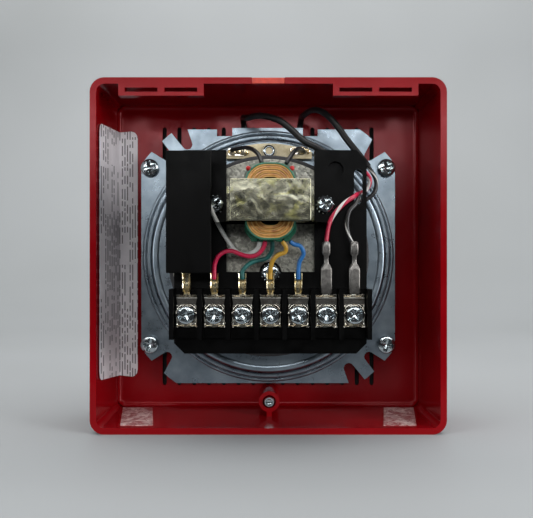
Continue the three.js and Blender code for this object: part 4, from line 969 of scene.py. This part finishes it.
def basket_rim():
    """Pressed beads round the basket's mouth and its smooth wall up to the shelf's rolled edge."""
    z = FLANGE_TOP
    skin = [
        (MOUTH + 0.3, z - 0.1), (MOUTH + 0.2, z + 0.25), (MOUTH - 0.2, z + 0.42), (MOUTH - 0.9, z + 0.42),
        (MOUTH - 1.1, z + 0.18), (MOUTH - 1.3, z + 0.18), (MOUTH - 1.5, z + 0.46), (MOUTH - 2.9, z + 0.5),
        (MOUTH - 3.1, z + 0.2), (MOUTH - 3.35, z + 0.2), (MOUTH - 3.6, z + 0.5), (MOUTH - 4.3, z + 0.6),
        (SHELF_RADIUS + 0.55, SHELF_TOP - 1.4), (SHELF_RADIUS + 0.4, SHELF_TOP - 0.35),
        (SHELF_RADIUS - 0.1, SHELF_TOP + 0.08), (SHELF_RADIUS - 0.9, SHELF_TOP + 0.2),
        (SHELF_RADIUS - 2.2, SHELF_TOP + 0.05),
    ]
    under = [(r - 0.3, h - 0.35) for r, h in skin[::-1]]
    profile = np.concatenate([softened(skin, 0.5, 4), np.array(under)])
    dressed("basket_rim", turned("basket_rim", profile, sides=160), "zinc", "speaker_frame", False, 60)


def turned_like(node, finish_name, profile, sides=128):
    """Turns a finer copy of a round CAD node."""
    dressed("fine_" + node, turned(node, profile, sides=sides), finish_name, node)


def motor():
    """Magnet stack: front plate, ferrite ring and back plate with its pole."""
    low, high = bench_box("front_pole_plate")
    turned_like("front_pole_plate", "zinc", ring_profile(13.45, high[0], low[2], high[2]))
    low, high = bench_box("magnet")
    turned_like("magnet", "ferrite", ring_profile(17, high[0], low[2], high[2], 0.7))
    low, high = bench_box("back_plate")
    r, top = high[0], high[2]
    profile = softened([
        (0, low[2]), (11.95, low[2]), (11.95, top - 3.6), (r, top - 3.6), (r, top), (0, top),
    ], 0.5, 4)
    turned_like("back_plate", "spangle", profile)


def skinned(node, finish_name, skin, sheet):
    """Turns a thin round piece: its skin, and the same skin `sheet` mm below it."""
    turned_like(node, finish_name, np.concatenate([skin, (skin - [0, sheet])[::-1]]), 96)


def cone():
    """Cone with a bulging flank, h = tip + (rim - tip) t + 1.2 sin(pi t), and a dished dust cap."""
    neck, cap_radius, cap_drop, cap_rise = 13.8, 12.6, 4.9, 3.4
    low, high = bench_box("cone")
    edge, rim, tip = high[0], low[2] + 0.5, high[2]
    t = np.linspace(0, 1, 24)
    flank = np.stack([neck + (edge - neck) * t, tip + (rim - tip) * t + 1.2 * np.sin(math.pi * t)], -1)
    r = np.linspace(0, cap_radius, 12)
    dome = np.stack([r, tip - cap_drop + cap_rise * (r / cap_radius) ** 2], -1)
    skinned("cone", "pulp", np.concatenate([dome, flank]), 0.45)


def surround():
    """Half-roll surround from the cone's edge out to the frame."""
    roll_radius, roll_height, land = 1.9, 1.5, 0.1
    low, high = bench_box("cone_surround")
    middle = bench_box("cone")[1][0] + 0.3 + roll_radius + land
    base = low[2] + 0.4
    t = np.linspace(math.pi, 0, 14)
    roll = np.stack([middle + roll_radius * np.cos(t), base + roll_height * np.sin(t)], -1)
    skinned("cone_surround", "surround", np.concatenate([roll, [[high[0], base]]]), 0.35)


def spider():
    """Corrugated cloth that steps up from the coil to the frame: a sine of fading height."""
    inner, outer, pitch, height = 13.4, 28, 3.1, 0.55
    low, high = bench_box("spider")
    r = np.linspace(inner, outer, 60)
    fade = np.clip((r - 14) / 2, 0, 1) * np.clip((27 - r) / 2, 0, 1)
    wave = height * np.sin((r - inner) * 2 * math.pi / pitch) * fade
    sheet = low[2] + 0.7 + (high[2] - low[2] - 1.1) * np.clip((r - 15) / 12, 0, 1) + wave
    skin = np.concatenate([np.stack([r, sheet], -1), [[high[0], high[2] - 0.1]]])
    skinned("spider", "spider", skin, 0.3)


def voice_coil():
    """Wound coil on its former."""
    low, high = bench_box("voice_coil")
    turned_like("voice_coil", "coil", ring_profile(12.42, high[0], low[2], high[2], 0.1), 64)


def solder_lump(random, x, y, z):
    """A flattened ball with three random bulges round its waist."""
    u = np.linspace(0, 2 * math.pi, 28, endpoint=False)
    v = np.linspace(0, math.pi, 14)[:, None]
    size = 0.9 + 0.45 * random.random()
    waist = size * (1 + 0.13 * np.sin(3 * u + random.random() * 6) * np.sin(v) ** 2) * np.sin(v)
    x, y = x + random.random() * 0.5, y + random.random() * 0.5
    return closed(grid_mesh("solder", xyz(
        x + 1.35 * waist * np.cos(u), y + waist * np.sin(u), z + 0.72 * size * np.cos(v),
    )))


def lug_board():
    """Phenolic lug board with its rivet, two tinned lugs and the solder on them."""
    refined("terminal_board", "phenolic", bevel=0.12)
    top = bench_box("terminal_board")[1][2] - 0.5
    rivet = softened([(0, top - 0.5), (2.75, top - 0.5), (2.75, top + 0.35), (1.5, top + 0.75),
                      (1.1, top + 0.35), (0, top + 0.3)], 0.25, 4)
    dressed("lug_rivet", turned("rivet", rivet, (0.3, 38.6), 40), "screw", "terminal_board", False)
    random = np.random.default_rng(7)
    for k, (x, y, wide) in enumerate([(-11.2, 38.2, 7.6), (11.6, 38.6, 7.2)]):
        outline = rounded_outline(wide / 2, 1.35, 0.9, (x, y))
        mesh = tile("lug", outline, top + 0.02, top + 0.5, 0.12)
        dressed(f"lug_{k}", mesh, "nickel", "terminal_board", False)
        for n in range(3):
            mesh = solder_lump(random, x - 2.4 + 2.3 * n, y - 0.2, top + 0.5)
            dressed(f"lug_solder_{k}_{n}", mesh, "solder", "terminal_board", False, 80)


set_back_wall()
basket_rim()
motor()
cone()
surround()
spider()
voice_coil()
lug_board()

# ---- Screws ----------------------------------------------------------------------------------

CROWN = 0.55
SHOULDER = 0.25
CROSS_DEPTH, CROSS_HALF_WIDTH, CROSS_REACH = 1.8, 0.17, 0.68
SLOT_DEPTH, SLOT_HALF_WIDTH, SLOT_REACH = 0.6, 0.36, 0.9


def ramp(distance, soft):
    """1 well inside an edge, 0 well outside it, and straight between over `soft` mm."""
    return np.clip(0.5 - distance / soft, 0, 1)


def screw_head(name, centre, z_low, z_head, z_top, radius, shank, angle, slot):
    """Pan head whose top is a height field on a polar grid: a dome less a cross and, where slot is
    set, a straight slot. The side, underside and shank follow in the same grid."""
    sides = 72
    a = np.linspace(0, 2 * math.pi, sides, endpoint=False)
    reach = np.linspace(0, radius - SHOULDER, 22)[:, None]
    x, y = np.abs(reach * np.cos(a - angle)), np.abs(reach * np.sin(a - angle))
    half_arm, arm_end = CROSS_HALF_WIDTH * radius, CROSS_REACH * radius
    cross = np.maximum(ramp(y - half_arm, 0.2) * ramp(x - arm_end, 0.3),
                       ramp(x - half_arm, 0.2) * ramp(y - arm_end, 0.3))
    well = CROSS_DEPTH * cross * (1 - 0.45 * reach / radius)
    if slot:
        straight = ramp(y - SLOT_HALF_WIDTH, 0.2) * ramp(x - radius * SLOT_REACH, 0.3)
        well = np.maximum(well, SLOT_DEPTH * straight)
    dome = z_top - CROWN + CROWN * np.sqrt(np.clip(1 - (reach / radius) ** 2, 0, 1))
    top = xyz(reach * np.cos(a) + centre[0], reach * np.sin(a) + centre[1], dome - well)
    rest = softened([
        (radius - SHOULDER, z_top - 0.42), (radius, z_top - 0.9), (radius, z_head), (shank, z_head),
        (shank, z_low + 0.4), (shank - 0.4, z_low), (0, z_low),
    ], 0.18)
    r, h = rest[:, :1], rest[:, 1:]
    below = xyz(r * np.cos(a) + centre[0], r * np.sin(a) + centre[1], h)
    return closed(grid_mesh(name, np.concatenate([top, below])))


def make_screws():
    """All visible machine screws, each at its own random turn."""
    random = np.random.default_rng(21)
    names = [n for n in frame["nodes"] if "_screw_" in n and not n.startswith("cover")]
    for name in sorted(names):
        low, high = bench_box(name)
        centre = (low[:2] + high[:2]) / 2
        radius = (high[0] - low[0]) / 2
        terminal = name.startswith("terminal")
        shank = 1.4 if name.startswith("speaker") else 1.5
        mesh = screw_head(
            name, centre, low[2], high[2] - 2, high[2], radius, shank, random.random() * 3, terminal,
        )
        dressed("fine_" + name, mesh, "screw", name, angle=50)


def star_washer(side):
    """External-tooth lock washer: its outer edge steps in and out and twists at each tooth."""
    low, high = bench_box("bracket_screw_" + side)
    centre = (low[:2] + high[:2]) / 2
    z = high[2] - 2
    teeth, bore, root, outer, sheet = 14, 1.75, 2.7, 3.1, 0.3
    a = np.linspace(0, 2 * math.pi, teeth * 8, endpoint=False)
    tooth = outer + 0.18 * np.clip(np.cos(teeth * a) * 3, -1, 1)
    twist = np.sin(teeth * a) * 0.16
    rings = [(bore, 0), (root, 0), (tooth, twist), (tooth, twist - sheet), (root, -sheet), (bore, -sheet)]
    rows = [xyz(r * np.cos(a) + centre[0], r * np.sin(a) + centre[1], z + h) for r, h in rings]
    mesh = closed(grid_mesh("washer", np.array(rows), along=True))
    dressed("star_washer_" + side, mesh, "screw", "bracket_screw_" + side, False, 35)


make_screws()
for washer_side in ("left", "right", "lower"):
    star_washer(washer_side)

# ---- Rear bracket, transformer and capacitor cover -------------------------------------------

refined("rear_bracket", "black", bevel=0.3)
refined("capacitor_cover", "black", bevel=0.35)
refined("blocking_capacitor", "film", bevel=0.6)
refined("transformer_strap", "chromate", bevel=0.6, steps=3)
refined("transformer_core", "core", bevel=0.1)


def winding():
    """Concentric layers: green tape outside, then wire and amber tape bands stepped in height."""
    low, high = bench_box("transformer_winding")
    centre = (low[:2] + high[:2]) / 2
    half = (high[:2] - low[:2]) / 2
    z0, z1 = low[2], high[2]
    layers = [
        ("tape", 0.55, 0.0), ("amber_tape", 0.45, -0.1), ("copper", 0.9, -0.35),
        ("amber_tape", 0.35, 0.0), ("copper", 0.9, -0.5), ("amber_tape", 0.35, -0.1),
        ("copper", 0.9, -0.4), ("amber_tape", 0.35, -0.2),
    ]
    drawn = 0.0
    for k, (finish_name, sheet, drop) in enumerate(layers):
        corner = (half[0] - drawn) * 0.82
        mesh = banded(
            "layer", half[0] - drawn, half[1] - drawn, corner, centre, z0, z1 + drop, sheet, 0.18, 14,
        )
        piece = dressed(f"winding_layer_{k}", mesh, finish_name, "transformer_winding", False, 50)
        if k == 0:
            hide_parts("transformer_winding")
        drawn += sheet


def bobbin():
    """Bobbin flange under the coil, with two paint dabs at its upper corners and cut lower teeth."""
    low, high = bench_box("transformer_winding")
    centre = (low[:2] + high[:2]) / 2 + [0.1, 0.1]
    z = low[2] - 0.1
    node = "transformer_winding"
    for k, side in enumerate((1, -1)):
        y_in, y_out = (6.8, 13.9) if side > 0 else (6.8, 12.9)
        half = 8.9
        points = [(-half, y_in), (-half, y_out - 3.2), (-half + 2.6, y_out), (half - 2.6, y_out),
                  (half, y_out - 3.2), (half, y_in)]
        outline = [(centre[0] + px, centre[1] + side * py) for px, py in points]
        finish_name = "bobbin" if side > 0 else "tape"
        mesh = tile("flange", softened(outline, 0.8), z - 1.2, z, 0.2)
        dressed(f"bobbin_flange_{k}", mesh, finish_name, node, False)
    for k, x in enumerate((-6.9, 8.1)):
        dab = softened([(0, z), (0.85, z), (0.8, z + 0.45), (0.4, z + 0.7), (0, z + 0.75)], 0.2)
        dressed(f"paint_dab_{k}", turned("dab", dab, (x, 30.0), 24), "dab", node, False, 80)
    for k in range(5):
        x = centre[0] - 5.6 + 2.8 * k
        outline = rounded_outline(1.05, 0.75, 0.3, (x, low[1] + 0.35))
        dressed(f"bobbin_tooth_{k}", tile("tooth", outline, z + 0.1, z + 3.2, 0.15), "tape", node, False)


winding()
bobbin()

# ---- Terminals -------------------------------------------------------------------------------

TERMINALS = 7
FLAT_TABS = 2
PLATE_SHEET = 0.8
DISH_LENGTH, DISH_HALF_WIDTH, DISH_SHEET = 11.1, 3.62, 0.42


def solder_channel(i, x, z, y0, y1):
    """U-section swept along y: narrow at its root, rolled lips, flared where the wire enters."""
    section = np.array([
        (-1.6, 2.05), (-1.6, 0.35), (-1.3, 0), (1.3, 0), (1.6, 0.35), (1.6, 2.05), (1.45, 2.25), (1.2, 2.1),
        (1.08, 0.75), (0.85, 0.5), (-0.85, 0.5), (-1.08, 0.75), (-1.2, 2.1), (-1.45, 2.25),
    ])
    t = np.linspace(0, 1, 30)
    wide = 0.66 + 0.2 * np.clip((t - 0.08) / 0.14, 0, 1) + 0.05 * np.clip((t - 0.9) / 0.1, 0, 1)
    tall = 0.45 + 0.55 * np.clip((t - 0.1) / 0.2, 0, 1) - 0.12 * np.exp(-((t - 0.62) / 0.07) ** 2)
    y = y0 + (y1 - y0) * t
    rows = xyz(x + section[:, 0] * wide[:, None], y[:, None], z + section[:, 1] * tall[:, None])
    mesh = grid_mesh("channel", rows)
    count = len(section)
    work = bmesh.new()
    work.from_mesh(mesh)
    work.verts.ensure_lookup_table()
    for start in (0, (len(rows) - 1) * count):
        ring = [work.verts[start + k] for k in range(count)]
        bmesh.ops.contextual_create(work, geom=ring)
    work.to_mesh(mesh)
    work.free()
    dressed(f"solder_channel_{i}", closed(mesh), "tail", f"terminal_plate_{i}", False, 35)


def terminal(i):
    """Stamped terminal: a plate with turned-up ends, and a solder channel or flat tab."""
    node = f"terminal_plate_{i}"
    flat = i > TERMINALS - FLAT_TABS
    if flat:
        refined(node, "nickel", bevel=0.12)
    low, high = bench_box(node)
    x = (low[0] + high[0]) / 2
    top = low[2] + PLATE_SHEET
    y0, y1 = low[1], low[1] + DISH_LENGTH
    t = np.linspace(0, 1, 40)[:, None]
    lift = 1.15 * np.exp(-(t / 0.055) ** 2) + 1.35 * np.exp(-((1 - t) / 0.06) ** 2)
    half = DISH_HALF_WIDTH - 0.5 * np.exp(-((t - 0.5) / 0.34) ** 4)
    upper = xyz(x + half * np.linspace(-1, 1, 9), y0 + (y1 - y0) * t, top + 0.06 + lift)
    mesh = slab("dish", upper, upper - [0, 0, DISH_SHEET])
    dressed(f"terminal_dish_{i}", mesh, "nickel", node, not flat, 40)
    if not flat:
        solder_channel(i, x, top - 0.4, y1 - 0.3, high[1])


def saddle(i):
    """Saddle clamp: a square plate cupped round the screw head, its sides turned up."""
    node = f"terminal_clamp_{i}"
    low, high = bench_box(node)
    cx, cy = (low[:2] + high[:2]) / 2
    half_x, half_y = (high[0] - low[0]) / 2, (high[1] - low[1]) / 2
    z, bore, cup_radius, wing, sheet = low[2] + 0.35, 1.85, 3.15, 0.9, 0.5
    angle = np.linspace(0, 2 * math.pi, 96, endpoint=False)
    c, s = np.cos(angle), np.sin(angle)
    square = 1 / np.maximum(np.abs(c), np.abs(s)) ** 0.86
    r = np.linspace(0, 1, 26)[:, None]
    px = np.clip((bore + (half_x * square - bore) * r) * c, -half_x, half_x)
    py = np.clip((bore + (half_y * square - bore) * r) * s, -half_y, half_y)
    cup = 0.5 * np.exp(-((np.hypot(px, py) - cup_radius) / 0.28) ** 2)
    wings = 0.55 * np.clip((np.abs(px) - half_x + wing) / wing, 0, 1) ** 2
    upper = xyz(cx + px, cy + py, z + cup + wings)
    lower = upper[::-1] - [0, 0, sheet]
    mesh = closed(grid_mesh("saddle", np.concatenate([upper, lower]), along=True))
    dressed(f"fine_{node}", mesh, "nickel", node, angle=50)


for number in range(1, TERMINALS + 1):
    terminal(number)
    saddle(number)

# ---- Leads -----------------------------------------------------------------------------------

WIRE = 1.5
SLEEVE = 2.35
PAST_CONE = 3  # the first point of each strobe lead that is clear of the moving cone

TAP_LEADS = {
    "lead_white": ("pvc_white", [[-20.3, 17.6, 11.4], [-18.9, 14.2, 11.6], [-17.6, 11.6, 11.6],
        [-14.6, 6.2, 11.4], [-11.3, 1.7, 11], [-8.5, 0.5, 10.8], [-6, 0.9, 11.2], [-3.6, 2.6, 12.4],
        [-2.9, 4.8, 13.2]]),
    "lead_red": ("pvc_red", [[-18.4, -8, 13.9], [-18.4, -5.2, 13.9], [-18.3, -3.2, 13.9],
        [-17.2, -0.4, 13.8], [-14.8, 1.4, 13.6], [-12.4, 1.6, 13.4], [-9.7, 0.6, 13.4],
        [-6.3, -0.2, 13.8], [-3.5, 0.6, 14.6], [-1.5, 3.2, 15.8], [-1.1, 4.8, 16.6]]),
    "lead_green": ("pvc_green", [[-8.8, -8, 13.9], [-8.8, -5.2, 13.9], [-8, -4.1, 13.8],
        [-6.3, -2.6, 13.2], [-3.6, -1.6, 12.4], [-0.8, -0.9, 12.2], [1.2, 1.8, 13], [1.3, 4.8, 14.2]]),
    "lead_yellow": ("pvc_yellow", [[0.7, -8, 13.9], [0.7, -5.4, 13.9], [0.9, -3.6, 14.4],
        [1.6, -1.4, 15.4], [3.4, 0.3, 16.2], [5.6, 1.2, 16.6], [5.9, 2.8, 17], [4.6, 4.8, 17.4]]),
    "lead_blue": ("pvc_blue", [[10.2, -8, 13.9], [10.2, -5.2, 13.9], [10.6, -2, 14], [11.9, 0.7, 14.4],
        [10.8, 3.2, 14.8], [8.6, 3.9, 15.4], [7.2, 4.8, 16]]),
    "speaker_lead_left": ("sleeving", [[-13.6, 38.6, -4.4], [-11.6, 38.8, -2.4], [-8.4, 38.6, 2],
        [-5.4, 37, 8], [-3.2, 34.2, 13], [-2.2, 31.2, 16]]),
    "speaker_lead_right": ("sleeving", [[13.2, 38.2, -4.4], [12.2, 38.5, -2], [10.6, 38, 3],
        [9, 36.2, 9], [7.4, 33.6, 13], [6, 31.2, 15]]),
}

# Each strobe lead: its striped finish, the number of points under the black sleeve, and its route.
STROBE_LEADS = {
    "strobe_lead_positive": ("pvc_red_white", 17, [[-5, 27.8, -32.6], [-5.8, 31, -33.6], [-8, 40, -33.7],
        [-9.4, 49, -33.7], [-9.9, 53.6, -33], [-10, 55.4, -30], [-9.6, 55, -26], [-8.3, 53.8, -21],
        [-4.6, 53.4, -15], [-0.8, 52.2, -10], [4.3, 49.7, -6], [8.6, 45.8, -3], [12.5, 41.6, 0],
        [17, 38.6, 2.6], [23, 35, 3], [29.4, 32.6, 3], [34, 30, 3.4], [36, 26.6, 4.2], [34.6, 23.4, 3.9],
        [32, 22, 4.6], [31, 21.6, 7], [29.8, 20.6, 10], [26.3, 18.2, 11.6], [22.8, 14.6, 12],
        [21, 11.5, 12.5], [20, 7.1, 13], [19.7, 3, 13.2]]),
    "strobe_lead_negative": ("pvc_black_white", 14, [[5, 27.8, -32.6], [6.2, 31, -33.6], [10, 40, -33.7],
        [12.4, 49, -33.7], [13.1, 53.6, -33], [13.4, 55.6, -30], [14, 55.6, -25], [16.4, 56, -18],
        [19.1, 54.8, -12], [22.2, 51.9, -8], [25.2, 47.7, -5], [28.6, 42.2, -2.6], [32.4, 37, -1.2],
        [36, 32, 0], [38.4, 27, 1.6], [37.6, 22.4, 2.4], [34.2, 19.8, 2.6], [32, 19.8, 4], [31.4, 20, 6.6],
        [31.2, 19.8, 8.8], [30, 17.6, 10.4], [27.9, 15.4, 11.4], [26.9, 10.5, 12.5], [27.8, 5.8, 13],
        [29.26, 3, 13.2]]),
}

for lead, (finish_key, route) in TAP_LEADS.items():
    dressed("fine_" + lead, tube(lead, route, WIRE), finish_key, lead, angle=60)


def strobe_lead(name, stripe, sleeved, route):
    """Striped wire, sleeved from the cone's edge, crimped into a push-on receptacle. Its sections
    are (width, height, squareness, crease, place along y)."""
    dressed("fine_" + name, tube(name, route, WIRE), stripe, name, angle=60)
    sleeve = tube(name + "_sleeve", route[PAST_CONE:sleeved], SLEEVE)
    dressed(name + "_sleeve", sleeve, "sleeving", name, False, 60)
    x, y, z = route[-1]
    sections = [
        (1.7, 1.7, 2, 0, 1.9), (2.7, 2.1, 3, 0.1, 1.5), (2.9, 2.2, 3.6, 0.15, 0.3),
        (2.9, 2.2, 3.6, 0.2, -1.9),
        (2.6, 2.0, 3.2, 0.1, -2.5), (1.7, 1.4, 2.8, 0.05, -3.1), (1.6, 1.3, 2.8, 0.05, -4.6),
        (1.8, 1.4, 3, 0.05, -5.6), (2.9, 1.7, 3.8, 0.1, -6.4), (3.7, 2.05, 5, 0.12, -7.3),
        (3.8, 2.1, 6, 0.14, -8), (3.8, 2.1, 6, 0.3, -10.6), (3.8, 2.1, 6, 0.14, -12),
        (3.8, 2.1, 6, 0.12, -15.4),
        (3.6, 1.9, 5, 0.1, -15.8),
    ]
    centre = [(x, y + s[4], z) for s in sections]
    body = lofted(name + "_receptacle", [s[:4] for s in sections], centre, 40)
    dressed(name + "_receptacle", body, "crimp", name, False, 45)


for lead, (stripe_key, sleeved_points, route) in STROBE_LEADS.items():
    strobe_lead(lead, stripe_key, sleeved_points, route)

# ---- Stage -----------------------------------------------------------------------------------

def stage():
    """Pale floor that curves up into a plain backdrop."""
    material, tree, shader, coords = finish("pale_painted_floor", "#85888a", 0.6)
    mottle(tree, coords, shader, "#929597", "#9a9da0", 300, 2)
    half_width, front, bend_radius, back, top, gap = 2000, 95, 350, -700, 2600, 0.02
    bend = np.linspace(0, math.pi / 2, 14)
    out = np.concatenate([[front], -bend_radius * (1 + np.sin(bend)), [back]])
    up = np.concatenate([[0], bend_radius * (1 - np.cos(bend)), [top]]) - HALF - gap
    grid = xyz(np.linspace(-half_width, half_width, 9), up[:, None], out[:, None])
    mesh = grid_mesh("floor", grid, around=False)
    mesh.polygons.foreach_set("use_smooth", np.ones(len(mesh.polygons), bool))
    floor = bpy.data.objects.new("floor", mesh)
    bpy.context.scene.collection.objects.link(floor)
    mesh.materials.append(material)


def area_light(name, place, aim, size, power, colour):
    """Soft rectangular light at a bench position, aimed at another."""
    data = bpy.data.lights.new(name, "AREA")
    data.shape = "RECTANGLE"
    data.size, data.size_y = size[0] / 1000, size[1] / 1000
    data.energy = power
    data.color = colour
    light = bpy.data.objects.new(name, data)
    start, end = bench_to_row(place), bench_to_row(aim)
    light.location = start
    direction = Vector(end - start)
    light.rotation_euler = direction.to_track_quat("-Z", "Y").to_euler()
    bpy.context.scene.collection.objects.link(light)


# Each light: place, aim, size, watts and colour.
LIGHTS = {
    "overhead": ((0, 620, 120), (0, 0, -15), (900, 420), 5, (1, 1, 0.99)),
    "card_above": ((0, 165, 620), (0, 20, 0), (760, 70), 1.2, (0.98, 0.99, 1)),
    "window_left": ((-560, 120, 420), (0, 0, 0), (220, 420), 1.2, (0.95, 0.98, 1)),
    "window_right": ((620, 160, 380), (0, 0, 0), (260, 460), 4.2, (0.98, 0.99, 1)),
    "backdrop": ((0, 700, -260), (0, 100, -700), (1500, 300), 6.3, (1, 1, 0.97)),
}
ROOM_COLOUR = (0.95, 0.97, 1, 1)
ROOM_STRENGTH = 0.05


def lights():
    """A soft light overhead, a narrow card above the viewer, two windows and a lit backdrop."""
    for name, (place, aim, size, power, colour) in LIGHTS.items():
        area_light(name, place, aim, size, power, colour)
    world = bpy.data.worlds.new("room")
    world.use_nodes = True
    background = world.node_tree.nodes["Background"]
    background.inputs["Color"].default_value = ROOM_COLOUR
    background.inputs["Strength"].default_value = ROOM_STRENGTH
    bpy.context.scene.world = world


stage()
lights()
bpy.context.scene.view_settings.view_transform = "Standard"
